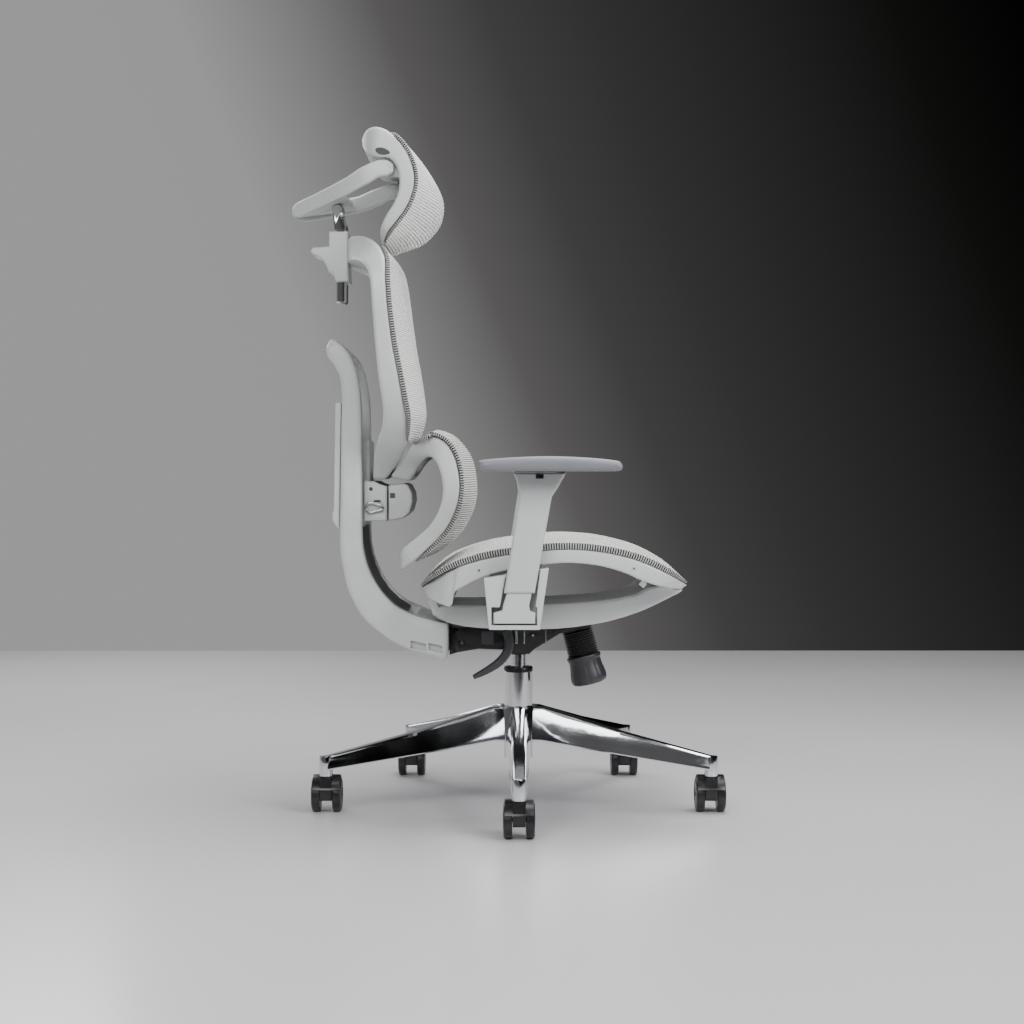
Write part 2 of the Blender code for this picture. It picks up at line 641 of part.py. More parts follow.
def seat_mesh():
    track = rails(SEAT_SHEET)
    whole = track[0][-1]
    half = widths([(0.0, 0.205), (0.06, 0.238), (0.16, 0.250), (0.30, 0.250),
                   (0.40, 0.243), (whole, 0.215)])
    loop = rounded(0.001, whole - 0.001, half, ((0.050, 0.075), (0.060, 0.090)), 5, 10)
    finish("seat_mesh", panel(loop, track, 0.001, whole - 0.001, 0.0115), MESH)


# ---- arms ----

def leaning(x, z):
    """A place on the post's own axis, x ahead of it, at height z."""
    return x + (z - 0.391) * math.tan(ARM_LEAN)


def arm(name, side):
    y = side * ARM_Y
    thick = 0.0098
    post = [(-0.0415, 0.3430), (0.0260, 0.3430), (0.0265, 0.3605), (0.0180, 0.3640),
            (0.0165, 0.3720), (leaning(0.0205, 0.391), 0.3910), (leaning(0.0205, 0.48), 0.4800),
            (leaning(-0.0205, 0.48), 0.4800), (leaning(-0.0205, 0.391), 0.3910),
            (-0.0260, 0.3720), (-0.0270, 0.3645), (-0.0415, 0.3605)]
    bm = side_plate(post, y - thick, y + thick, 0.0015)
    foot = box((-0.0410, min(side * 0.2625, y), 0.3435), (0.0255, max(side * 0.2625, y), 0.3600))
    bm = union(bm, foot)
    finish(f"arm_{name}_post", bm, SHELL)

    outline = [(leaning(-0.0250, 0.393), 0.3930), (leaning(0.0250, 0.393), 0.3930),
               (leaning(0.0265, 0.55), 0.5500), (0.0640, 0.5660), (0.0770, 0.5895),
               (-0.0095, 0.5895), (-0.0030, 0.5720), (leaning(-0.0265, 0.55), 0.5500)]
    bm = side_plate(outline, y - 0.0150, y + 0.0150, 0.003)
    hollow = [(leaning(-0.0209, 0.380), 0.3800), (leaning(0.0209, 0.380), 0.3800),
              (leaning(0.0209, 0.565), 0.5650), (leaning(-0.0209, 0.565), 0.5650)]
    bm = cut(bm, side_plate(hollow, y - thick - 0.0004, y + thick + 0.0004))
    face = y + side * 0.0150
    pocket = sorted((face - side * 0.0046, face + side * 0.002))
    bm = cut(bm, box((0.0270, pocket[0], 0.5795), (0.0400, pocket[1], 0.5870)))
    sleeve_pivot = (leaning(0, 0.393), y, 0.3930)
    finish(f"arm_{name}_sleeve", bm, SHELL, sleeve_pivot)
    press = sorted((face - side * 0.0018, face + side * 0.0006))
    button = box((0.0273, press[0], 0.5798), (0.0397, press[1], 0.5867), 0.0005)
    finish(f"arm_{name}_button", button, BLACK, (0.0335, face, 0.5833))

    turn = (0.034, y, 0.59)
    swivel = side_plate([(-0.008, 0.5898), (0.076, 0.5898), (0.076, 0.5950), (-0.008, 0.5950)],
                        y - 0.014, y + 0.014, 0.001)
    finish(f"arm_{name}_swivel", swivel, STEEL, turn)

    arch = smooth([(-0.0670, 0.6010), (-0.0610, 0.6100), (-0.012, 0.6140), (0.049, 0.6160),
                   (0.111, 0.6135), (0.159, 0.6090), (0.1660, 0.6000)], 3)
    lower = [(0.1610, 0.5920), (-0.0610, 0.5915)]
    bm = side_plate([tuple(p) for p in arch] + lower, side * PAD_Y - 0.0475,
                    side * PAD_Y + 0.0475, 0.005, 2)

    def slim(co):
        t = (co.x - 0.049) / 0.117
        inner = 1 - 0.16 * t * t
        return Vector((co.x, side * PAD_Y + (co.y - side * PAD_Y) * inner, co.z))
    move(bm, slim)
    bm = cut(bm, box((-0.0300, y - 0.0240, 0.5800), (0.0980, y + 0.0240, 0.5954)))
    finish(f"arm_{name}_pad", bm, PAD, turn)


# ---- spine and its bracket ----

SPINE = [(-0.1215, 0.2655, -0.1215, 0.3275), (-0.160, 0.2750, -0.147, 0.3325),
         (-0.196, 0.2865, -0.180, 0.3430), (-0.234, 0.3090, -0.213, 0.3600),
         (-0.268, 0.3400, -0.238, 0.3860), (-0.291, 0.3810, -0.256, 0.4170),
         (-0.3025, 0.4250, -0.266, 0.4480), (-0.3075, 0.4700, -0.2695, 0.4800),
         (-0.3065, 0.5400, -0.2700, 0.5400), (-0.3055, 0.6100, -0.2700, 0.6100),
         (-0.3045, 0.6750, -0.2700, 0.6750), (-0.3035, 0.7200, -0.2715, 0.7150),
         (-0.3070, 0.7520, -0.2765, 0.7520), (-0.3170, 0.7730, -0.2840, 0.7770),
         (-0.3280, 0.7880, -0.2950, 0.7980), (-0.3300, 0.8050, -0.3110, 0.8130),
         (-0.3270, 0.8170, -0.3200, 0.8200)]


def spine():
    track = rails(SPINE)
    whole = track[0][-1]
    outer = widths([(0.0, 0.1175), (0.10, 0.1190), (0.35, 0.1200), (0.55, 0.1190), (whole, 0.1160)])
    inner = widths([(0.0, 0.0870), (0.10, 0.0875), (0.35, 0.0885), (0.55, 0.0880), (whole, 0.0870)])
    hole = rounded(0.072, whole - 0.040, inner, ((0.012, 0.012), (0.030, 0.030)), 3, 8)
    loops = [rounded(0.0, whole, outer, ((0.008, 0.008), (0.020, 0.030)), 3, 8), hole]
    bm = bent(loops, track, 0.006, 17)
    for low_x, high_x, low_z, high_z in ((-0.186, -0.159, 0.2868, 0.300),
                                         (-0.155, -0.131, 0.2832, 0.296)):
        for side in (-1, 1):
            y = sorted((side * 0.110, side * 0.125))
            pocket = [(low_x, low_z), (high_x, low_z - 0.005), (high_x, high_z - 0.006),
                      (low_x, high_z)]
            bm = cut(bm, side_plate(pocket, y[0], y[1]))
    finish("spine_frame", bm, SHELL)

    web_half = widths([(0.0, 0.0870), (whole, 0.0870)])
    web = rounded(0.0860, 0.285, web_half, ((0.003, 0.003), (0.003, 0.003)), 2, 4)
    web = [(x, max(-0.0868, min(0.0868, y))) for x, y in web]
    finish("spine_web", bent([web], track, 0.0, 22, 0.78, 0.94), BLACK)

    cover = [(-0.3078, 0.4900), (-0.3150, 0.4975), (-0.3205, 0.5080), (-0.3200, 0.5190),
             (-0.3180, 0.5260), (-0.3170, 0.6300), (-0.3150, 0.7060), (-0.3120, 0.7090),
             (-0.3053, 0.7080), (-0.3066, 0.6300), (-0.3078, 0.5500), (-0.3088, 0.4950)]
    finish("spine_cover", side_plate(cover, -0.1120, 0.1120, 0.001), SHELL)


def back_bracket():
    block = [(-0.2690, 0.5040), (-0.2285, 0.5040), (-0.2285, 0.5640), (-0.2430, 0.5690),
             (-0.2500, 0.5730), (-0.2690, 0.5740)]
    bm = side_plate(block, -0.0860, 0.0860, 0.0025)
    tongue = box((-0.2850, -0.0500, 0.5060), (-0.2600, 0.0500, 0.6450), 0.002)
    bm = union(bm, tongue)
    x, z = LOOP_AXIS
    bm = cut(bm, rod((x, -0.09, z), (x, -0.07, z), 0.0016 + 2 * GAP, 12))
    finish("back_bracket", bm, SHELL)

    carrier = [(-0.2265, 0.5040), (-0.2000, 0.5090), (-0.1890, 0.5190), (-0.1840, 0.5380),
               (-0.1850, 0.5520), (-0.1920, 0.5660), (-0.1990, 0.5695), (-0.2265, 0.5660)]
    finish("lumbar_carrier", side_plate(carrier, -0.0780, 0.0780, 0.0025), SHELL,
           (-0.2265, 0, 0.535))

    x, z = LOOP_AXIS
    loop = [(x, -0.0905, z), (x - 0.0120, -0.0905, z + 0.0060), (x - 0.0220, -0.0905, z + 0.0080),
            (x - 0.0300, -0.0905, z), (x - 0.0220, -0.0905, z - 0.0080),
            (x - 0.0120, -0.0905, z - 0.0060)]
    bm = wire(loop, 0.0016, closed=True, sides=1, resolution=3)
    bm = union(bm, rod((x, -0.0920, z), (x, -0.0720, z), 0.0016, 12))
    finish("release_loop", bm, CHROME, (x, 0, z))


# ---- upper back ----

BACK = [(-0.2530, 0.5760, -0.2320, 0.5760), (-0.2510, 0.5950, -0.2150, 0.5960),
        (-0.2470, 0.6220, -0.2000, 0.6170), (-0.2400, 0.6430, -0.1910, 0.6370),
        (-0.2310, 0.6640, -0.1880, 0.6580), (-0.2270, 0.6860, -0.1880, 0.6800),
        (-0.2280, 0.7110, -0.1920, 0.7070), (-0.2340, 0.7560, -0.2000, 0.7500),
        (-0.2390, 0.8090, -0.2100, 0.8040), (-0.2430, 0.8620, -0.2170, 0.8560),
        (-0.2460, 0.9030, -0.2215, 0.9050), (-0.2510, 0.9240, -0.2230, 0.9420),
        (-0.2600, 0.9380, -0.2290, 0.9590), (-0.2730, 0.9480, -0.2380, 0.9740),
        (-0.2850, 0.9520, -0.2540, 0.9890), (-0.2935, 0.9540, -0.2720, 0.9975),
        (-0.2985, 0.9560, -0.2975, 1.0010)]
BACK_SHEET = [(-0.1903, 0.6420, -0.1890, 0.6420), (-0.1875, 0.6600, -0.1760, 0.6600),
              (-0.1875, 0.6850, -0.1690, 0.6850),
              (-0.1915, 0.7080, -0.1695, 0.7080), (-0.1995, 0.7520, -0.1755, 0.7520),
              (-0.2095, 0.8050, -0.1850, 0.8050), (-0.2165, 0.8570, -0.1925, 0.8570),
              (-0.2208, 0.9060, -0.1990, 0.9060), (-0.2216, 0.9420, -0.2060, 0.9400),
              (-0.2272, 0.9600, -0.2170, 0.9570), (-0.2365, 0.9745, -0.2340, 0.9700)]


def upper_back():
    track = rails(BACK)
    whole = track[0][-1]
    outer = widths([(0.0, 0.085), (0.03, 0.110), (0.07, 0.165), (0.11, 0.205), (0.16, 0.225),
                    (0.25, 0.230), (0.34, 0.226), (0.385, 0.195), (0.415, 0.130),
                    (whole, 0.060)])
    inner = widths([(0.0, 0.060), (0.03, 0.080), (0.07, 0.138), (0.11, 0.180), (0.16, 0.201),
                    (0.25, 0.206), (0.34, 0.202), (0.375, 0.170), (0.395, 0.110),
                    (whole, 0.040)])
    loops = [rounded(0.0, whole, outer, ((0.006, 0.010), (0.006, 0.015)), 2, 14),
             rounded(0.024, 0.396, inner, ((0.010, 0.020), (0.012, 0.050)), 3, 12)]
    finish("upper_frame", bent(loops, track, 0.004, 17), SHELL)

    track = rails(BACK_SHEET)
    whole = track[0][-1]
    half = widths([(0.0, 0.178), (0.035, 0.208), (0.08, 0.225), (0.17, 0.230),
                   (0.26, 0.226), (0.31, 0.205), (whole, 0.150)])
    loop = rounded(0.0005, whole - 0.0005, half, ((0.010, 0.040), (0.016, 0.050)), 4, 11)
    finish("upper_mesh", panel(loop, track, 0.0, whole, 0.008), MESH)


# ---- lumbar support ----

LUMBAR = [(-0.1905, 0.5730, -0.2235, 0.5800), (-0.1830, 0.5810, -0.2130, 0.5940),
          (-0.1680, 0.6040, -0.1960, 0.6160), (-0.1570, 0.6140, -0.1800, 0.6370),
          (-0.1480, 0.6150, -0.1580, 0.6500), (-0.1400, 0.6080, -0.1360, 0.6480),
          (-0.1340, 0.5960, -0.1180, 0.6340), (-0.1300, 0.5810, -0.1050, 0.6080),
          (-0.1275, 0.5600, -0.0990, 0.5700), (-0.1310, 0.5360, -0.1025, 0.5380),
          (-0.1400, 0.5150, -0.1140, 0.5080), (-0.1530, 0.4965, -0.1300, 0.4850),
          (-0.1740, 0.4780, -0.1540, 0.4600), (-0.1960, 0.4600, -0.1800, 0.4370),
          (-0.2040, 0.4480, -0.2030, 0.4200)]
LUMBAR_SHEET = [(-0.1800, 0.6375, -0.1790, 0.6380), (-0.1580, 0.6505, -0.1500, 0.6600),
                (-0.1358, 0.6484, -0.1200, 0.6540), (-0.1176, 0.6342, -0.0980, 0.6340),
                (-0.1046, 0.6082, -0.0830, 0.6080), (-0.0986, 0.5700, -0.0760, 0.5700),
                (-0.1021, 0.5379, -0.0780, 0.5360), (-0.1137, 0.5077, -0.0900, 0.5040),
                (-0.1297, 0.4847, -0.1080, 0.4780), (-0.1537, 0.4597, -0.1380, 0.4530),
                (-0.1770, 0.4390, -0.1740, 0.4370)]


def lumbar():
    track = rails(LUMBAR)
    whole = track[0][-1]
    outer = widths([(0.0, 0.085), (0.03, 0.110), (0.06, 0.155), (0.09, 0.183), (0.14, 0.190),
                    (0.24, 0.190), (whole, 0.180)])
    inner = widths([(0.0, 0.060), (0.03, 0.085), (0.06, 0.130), (0.09, 0.158), (0.14, 0.166),
                    (0.24, 0.166), (whole, 0.155)])
    loops = [rounded(0.0, whole, outer, ((0.004, 0.008), (0.030, 0.050)), 3, 12),
             rounded(0.020, whole - 0.028, inner, ((0.010, 0.030), (0.025, 0.040)), 4, 12)]
    finish("lumbar_frame", bent(loops, track, 0.004, 15), SHELL)

    track = rails(LUMBAR_SHEET)
    whole = track[0][-1]
    half = widths([(0.0, 0.172), (0.03, 0.186), (0.08, 0.190), (0.18, 0.190), (whole, 0.184)])
    loop = rounded(0.0005, whole - 0.0005, half, ((0.020, 0.040), (0.025, 0.045)), 4, 8)
    finish("lumbar_mesh", panel(loop, track, 0.0, whole, 0.007), MESH)


# ---- headrest ----

HEAD = [(-0.2370, 0.9880, -0.2345, 0.9810), (-0.2345, 1.0050, -0.2220, 0.9980),
        (-0.2255, 1.0240, -0.2065, 1.0160), (-0.2130, 1.0430, -0.1905, 1.0380),
        (-0.2045, 1.0620, -0.1810, 1.0600), (-0.2018, 1.0800, -0.1768, 1.0820),
        (-0.2045, 1.1000, -0.1790, 1.1040), (-0.2110, 1.1140, -0.1880, 1.1280),
        (-0.2210, 1.1225, -0.2030, 1.1500), (-0.2360, 1.1235, -0.2220, 1.1680),
        (-0.2500, 1.1270, -0.2420, 1.1755), (-0.2610, 1.1360, -0.2590, 1.1735),
        (-0.2680, 1.1480, -0.2695, 1.1620)]
HEAD_SHEET = [(-0.2310, 0.9845, -0.2290, 0.9835), (-0.2060, 1.0157, -0.1760, 0.9960),
              (-0.1900, 1.0378, -0.1480, 1.0200), (-0.1806, 1.0600, -0.1370, 1.0440),
              (-0.1764, 1.0820, -0.1370, 1.0700), (-0.1786, 1.1042, -0.1490, 1.0960),
              (-0.1876, 1.1283, -0.1670, 1.1230), (-0.2026, 1.1503, -0.1890, 1.1480),
              (-0.2200, 1.1670, -0.2160, 1.1690)]


def headrest():
    track = rails(HEAD)
    whole = track[0][-1]
    outer = widths([(0.0, 0.140), (0.06, 0.150), (0.15, 0.150), (whole, 0.145)])
    inner = widths([(0.0, 0.116), (0.06, 0.126), (0.15, 0.126), (whole, 0.120)])
    loops = [rounded(0.0, whole, outer, ((0.030, 0.045), (0.035, 0.050)), 4, 8),
             rounded(0.020, whole - 0.050, inner, ((0.022, 0.035), (0.022, 0.035)), 3, 6)]
    bm = bent(loops, track, 0.003, 14)
    x, z = HEAD_AXIS
    ear = [(x - 0.0120, z - 0.0130), (-0.1980, z - 0.0130), (-0.1980, z + 0.0090),
           (x + 0.0040, z + 0.0130), (x - 0.0120, z + 0.0060)]
    for side in (-1, 1):
        y = sorted((side * 0.1155, side * 0.1272))
        bm = union(bm, side_plate(ear, y[0], y[1], 0.001))
        pin = sorted((side * 0.1200, side * 0.1440))
        bm = union(bm, rod((x, pin[0], z), (x, pin[1], z), 0.0045, 12))
    finish("headrest_frame", bm, SHELL, (x, 0, z))

    track = rails(HEAD_SHEET)
    whole = track[0][-1]
    half = widths([(0.0, 0.140), (0.05, 0.150), (0.15, 0.150), (whole, 0.147)])
    loop = rounded(0.0005, whole - 0.0005, half, ((0.030, 0.045), (0.020, 0.035)), 4, 7)
    finish("headrest_mesh", panel(loop, track, 0.0, whole, 0.0065), MESH, (x, 0, z))


# Plan of one yoke arm: x, middle y, and the (x, z) of its upper and lower edges.
YOKE = [(-0.3975, 0.0210, 1.0540, 1.0410), (-0.3930, 0.0250, 1.0590, 1.0372),
        (-0.3845, 0.0330, 1.0630, 1.0365), (-0.3577, 0.0600, 1.0705, 1.0440),
        (-0.3226, 0.0930, 1.0820, 1.0548), (-0.2923, 0.1200, 1.0932, 1.0640),
        (-0.2712, 0.1340, 1.1053, 1.0731),
        (-0.2530, 0.1400, 1.1130, 1.0810), (-0.2380, 0.1400, 1.1190, 1.0905),
        (-0.2235, 0.1375, 1.1192, 1.0928), (-0.2130, 0.1350, 1.1140, 1.0985)]


def yoke():
    body = None
    for side in (-1, 1):
        rings = []
        for x, y, top, low in YOKE:
            half = 0.0080
            mid = side * y
            rings.append([(x, mid - half, low + 0.003), (x, mid - half + 0.003, low),
                          (x, mid + half - 0.003, low), (x, mid + half, low + 0.003),
                          (x, mid + half, top - 0.003), (x, mid + half - 0.003, top),
                          (x, mid - half + 0.003, top), (x, mid - half, top - 0.003)])
        bar = loft(rings)
        body = bar if body is None else union(body, bar)
    spread = [(-0.3970, 0.014), (-0.3840, 0.027), (-0.3570, 0.054), (-0.3226, 0.086),
              (-0.3000, 0.106)]
    deck = plate([spread + [(-0.3000, 0.060), (-0.3050, 0.0)]
                  + [(-0.3000, -0.060)] + [(x, -y) for x, y in reversed(spread)]], 0.012)
    move(deck, lambda co: Vector((co.x, co.y, 1.0405 + (co.x + 0.396) * 0.262 + co.z)))
    body = union(body, deck)
    x, z = YOKE_AXIS
    body = union(body, rod((x, -0.0125, z), (x, 0.0125, z), 0.0110, 16))
    body = cut(body, rod((x, -0.05, z), (x, 0.05, z), 0.0045 + 2 * GAP, 12))
    x, z = HEAD_AXIS
    for side in (-1, 1):
        far = sorted((side * 0.11, side * 0.1445))
        body = cut(body, rod((x, far[0], z), (x, far[1], z), 0.0045 + 2 * GAP, 12))
        near = sorted((side * 0.1140, side * 0.1294))
        body = cut(body, rod((x, near[0], z), (x, near[1], z), 0.0175, 16))
    finish("headrest_yoke", body, SHELL, (YOKE_AXIS[0], 0, YOKE_AXIS[1]))


def headrest_stem():
    x, z = YOKE_AXIS
    bm = box((-0.3225, -0.0230, 0.8860), (-0.3035, 0.0230, 1.0280), 0.0035)
    for side in (-1, 1):
        y = sorted((side * 0.0132, side * 0.0232))
        fork = side_plate([(-0.3240, 1.0150), (-0.3050, 1.0150), (x + 0.0088, z - 0.0030),
                           (x + 0.0078, z + 0.0030), (x + 0.0045, z + 0.0068), (x, z + 0.0080),
                           (x - 0.0045, z + 0.0068), (x - 0.0078, z + 0.0030),
                           (x - 0.0088, z - 0.0030)], y[0], y[1], 0.0005)
        bm = union(bm, fork)
    bm = cut(bm, rod((x, -0.05, z), (x, 0.05, z), 0.0045 + 2 * GAP, 12))
    finish("headrest_stem", bm, CHROME, (-0.313, 0, 0.95))
    pin = rod((x, -0.0250, z), (x, 0.0250, z), 0.0045, 12)
    for side in (-1, 1):
        pin = union(pin, rod((x, side * 0.0235, z), (x, side * 0.0262, z), 0.0085, 16))
    finish("headrest_pin", pin, SHELL, (x, 0, z))


def headrest_clamp():
    block = [(-0.3320, 1.0105), (-0.2992, 1.0105), (-0.2992, 0.9450), (-0.2980, 0.9240),
             (-0.3200, 0.9230), (-0.3270, 0.9420), (-0.3345, 0.9540), (-0.3320, 0.9700)]
    bm = side_plate(block, -0.0400, 0.0400, 0.002)
    for side in (-1, 1):
        y = sorted((side * 0.0180, side * 0.0400))
        horn = [(-0.3250, 0.9850), (-0.3600, 0.9825), (-0.3650, 0.9765), (-0.3610, 0.9710),
                (-0.3500, 0.9670), (-0.3420, 0.9600), (-0.3370, 0.9500), (-0.3330, 0.9400),
                (-0.3250, 0.9380)]
        bm = union(bm, side_plate(horn, y[0], y[1], 0.002))
    bm = cut(bm, box((-0.3229, -0.0234, 0.90), (-0.3031, 0.0234, 1.02), 0.0035))
    finish("headrest_clamp", bm, SHELL)


base_star()
casters()
lift()
tilt_housing()
tilt_carrier()
height_lever()
tension_knob()
seat_frame()
seat_carrier()
seat_mesh()
arm("right", -1)
arm("left", 1)
spine()
back_bracket()
upper_back()
lumbar()
headrest()
yoke()
headrest_stem()
headrest_clamp()
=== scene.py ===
import math

import bmesh
import bpy
from mathutils import Matrix, Vector


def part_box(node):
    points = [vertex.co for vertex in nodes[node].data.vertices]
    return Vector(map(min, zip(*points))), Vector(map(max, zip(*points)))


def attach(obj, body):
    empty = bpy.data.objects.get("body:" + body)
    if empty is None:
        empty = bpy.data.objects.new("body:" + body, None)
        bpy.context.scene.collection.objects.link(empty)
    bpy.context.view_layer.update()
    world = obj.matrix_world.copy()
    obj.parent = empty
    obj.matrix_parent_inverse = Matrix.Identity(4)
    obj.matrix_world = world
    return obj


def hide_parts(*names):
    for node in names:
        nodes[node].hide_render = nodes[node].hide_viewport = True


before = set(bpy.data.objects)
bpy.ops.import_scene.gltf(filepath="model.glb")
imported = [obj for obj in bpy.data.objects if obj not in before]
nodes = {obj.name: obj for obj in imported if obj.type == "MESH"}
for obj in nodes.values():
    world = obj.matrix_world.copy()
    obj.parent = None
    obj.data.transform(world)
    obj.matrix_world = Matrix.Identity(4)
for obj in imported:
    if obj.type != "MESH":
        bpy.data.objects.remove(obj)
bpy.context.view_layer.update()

# ---- star base ----
# The base is one aluminium casting, polished all over until it mirrors the room. Five
# tapering legs run out from the hub, each with a flat top, sloped sides and a low flange,
# and each ends in a socket for a caster stem.

hub_x = (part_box("lift_tube")[0].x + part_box("lift_tube")[1].x) / 2


def linear(code):
    """An sRGB hex colour as the linear one that shaders take."""
    parts = [int(code[i:i + 2], 16) / 255 for i in (1, 3, 5)]
    return (*(c / 12.92 if c <= 0.04045 else ((c + 0.055) / 1.055) ** 2.4 for c in parts), 1)


def add(tree, kind, sockets=None, **settings):
    """One node with its settings. A socket takes a value, or another node's output."""
    node = tree.nodes.new(kind)
    for name, value in settings.items():
        setattr(node, name, value)
    for name, value in (sockets or {}).items():
        if isinstance(value, bpy.types.NodeSocket):
            tree.links.new(value, node.inputs[name])
        else:
            node.inputs[name].default_value = value
    return node


def surface(name, colour, roughness, metallic=0.0, mottle=0.04, swing=0.04, patch_mm=45,
            grain_mm=0.9, depth_mm=0.02):
    """A surface with slightly uneven colour and gloss in broad patches, and a fine grain."""
    skin = bpy.data.materials.new(name)
    skin.use_nodes = True
    tree = skin.node_tree
    shader = tree.nodes["Principled BSDF"]
    shader.inputs["Metallic"].default_value = metallic
    spot = add(tree, "ShaderNodeTexCoord").outputs["Object"]
    patch = add(tree, "ShaderNodeTexNoise", {"Vector": spot, "Scale": 1000 / patch_mm, "Detail": 3})
    ramp = add(tree, "ShaderNodeValToRGB", {"Fac": patch.outputs["Fac"]})
    for stop, at, share in zip(ramp.color_ramp.elements, (0.3, 0.7), (1 - mottle, 1 + mottle)):
        stop.position = at
        stop.color = [min(c * share, 1) for c in linear(colour)[:3]] + [1]
    gloss = add(tree, "ShaderNodeMapRange", {"Value": patch.outputs["Fac"], "From Min": 0.3,
                                             "From Max": 0.7, "To Min": roughness - swing,
                                             "To Max": roughness + swing})
    grain = add(tree, "ShaderNodeTexNoise", {"Vector": spot, "Scale": 1000 / grain_mm, "Detail": 2})
    bump = add(tree, "ShaderNodeBump", {"Height": grain.outputs["Fac"], "Strength": 0.5,
                                        "Distance": depth_mm / 1000})
    tree.links.new(ramp.outputs["Color"], shader.inputs["Base Color"])
    tree.links.new(gloss.outputs["Result"], shader.inputs["Roughness"])
    tree.links.new(bump.outputs["Normal"], shader.inputs["Normal"])
    return skin


def place(name, bm, skin, body, stands_for, angle=35):
    """Makes the piece from a shape measured from the hub's axis, and hangs it on its body."""
    bmesh.ops.remove_doubles(bm, verts=bm.verts, dist=1e-6)
    bmesh.ops.recalc_face_normals(bm, faces=bm.faces)
    bmesh.ops.translate(bm, vec=(hub_x, 0, 0), verts=bm.verts)
    data = bpy.data.meshes.new(name)
    bm.to_mesh(data)
    bm.free()
    data.polygons.foreach_set("use_smooth", [True] * len(data.polygons))
    data.set_sharp_from_angle(angle=math.radians(angle))
    data.materials.append(skin)
    piece = bpy.data.objects.new(name, data)
    bpy.context.scene.collection.objects.link(piece)
    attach(piece, body)
    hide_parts(*stands_for)
    return piece


def bevel(bm, edges, width, segments=2, clamp=True):
    bmesh.ops.bevel(bm, geom=edges, offset=width, segments=segments, profile=0.5,
                    affect="EDGES", clamp_overlap=clamp, material=-1)


def softened(node, width=0.0008, segments=2, turn=28):
    """A copy of a CAD node with its flat faces joined up and its edges rounded off."""
    bm = bmesh.new()
    bm.from_mesh(nodes[node].data)
    bmesh.ops.translate(bm, vec=(-hub_x, 0, 0), verts=bm.verts)
    bmesh.ops.remove_doubles(bm, verts=bm.verts, dist=1e-5)
    bmesh.ops.dissolve_limit(bm, angle_limit=math.radians(1), verts=bm.verts, edges=bm.edges)
    sharp = [e for e in bm.edges if e.is_manifold and e.calc_face_angle(0) > math.radians(turn)]
    bevel(bm, sharp, width, segments)
    return bm


def dress(name, node, skin, body, width=0.0008, segments=2, turn=28):
    """Puts a rounded copy of a CAD node in its place."""
    place(name, softened(node, width, segments, turn), skin, body, [node])


# Polished aluminium, 380-grit buffed: bright, with long soft waves in what it mirrors.
polished = surface("polished_cast_aluminium", "#D6D9DC", 0.10, 1.0, mottle=0.02, swing=0.03,
                   patch_mm=60, grain_mm=25, depth_mm=0.5)
dress("star_base", "base_star", polished, "base", 0.0012, 3)

# ---- casters ----
# Twin-wheel casters moulded in black nylon. A hood and a centre block join the two wheels,
# and a steel stem with a grip ring is pushed up into the leg's socket.

# Nylon straight from the mould: black, with a soft sheen over a faint grain.
black_nylon = surface("black_moulded_nylon", "#141416", 0.34, mottle=0.15, swing=0.06,
                      grain_mm=0.7, depth_mm=0.03)
# Zinc plate on steel: a light metal with a slightly clouded shine.
zinc = surface("zinc_plated_steel", "#C2C4C6", 0.22, 1.0, grain_mm=0.6, depth_mm=0.005)


def turned(profile, start, end, sides=48):
    """A profile of (radius, distance) points turned round the line from start to end."""
    start, end = Vector(start), Vector(end)
    turn = (end - start).to_track_quat("Z", "Y").to_matrix().to_4x4()
    bm = bmesh.new()
    ring = [bm.verts.new((radius, 0, height)) for radius, height in profile]
    edges = [bm.edges.new(pair) for pair in zip(ring, ring[1:])]
    bmesh.ops.spin(bm, geom=ring + edges, cent=(0, 0, 0), axis=(0, 0, 1),
                   angle=math.tau, steps=sides, use_merge=True)
    bmesh.ops.remove_doubles(bm, verts=bm.verts, dist=1e-5)
    bmesh.ops.transform(bm, matrix=Matrix.Translation(start) @ turn, verts=bm.verts)
    return bm


for number in range(1, 6):
    fork = f"caster_{number}_fork"
    dress(f"caster_{number}_hood", f"caster_{number}_housing", black_nylon, fork,
          0.0007)
    dress(f"caster_{number}_pin", f"caster_{number}_stem", zinc, fork, 0.0005)
    for letter, side in (("a", -1), ("b", 1)):
        node = f"caster_{number}_wheel_{letter}"
        low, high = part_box(node)
        middle = (low + high) / 2
        inner = Vector((low.x if side > 0 else high.x, middle.y, middle.z)) - Vector((hub_x, 0, 0))
        wheel = [(0.0042, 0.0), (0.0280, 0.0), (0.0293, 0.0004), (0.0300, 0.0018),
                 (0.0300, 0.0100), (0.0296, 0.0122), (0.0284, 0.0138), (0.0262, 0.0146),
                 (0.0255, 0.0136), (0.0215, 0.0132), (0.0208, 0.0142), (0.0120, 0.0152),
                 (0.0112, 0.0144), (0.0042, 0.0146), (0.0042, 0.0)]
        place(f"caster_{number}_roller_{letter}", turned(wheel, inner, inner + Vector((side, 0, 0))),
              black_nylon, node, [node], 25)

# ---- gas lift ----
# A chromed steel column sits in the hub's taper. A black nylon collar closes its top, and
# the thinner gas-spring rod slides through the collar and carries the seat.

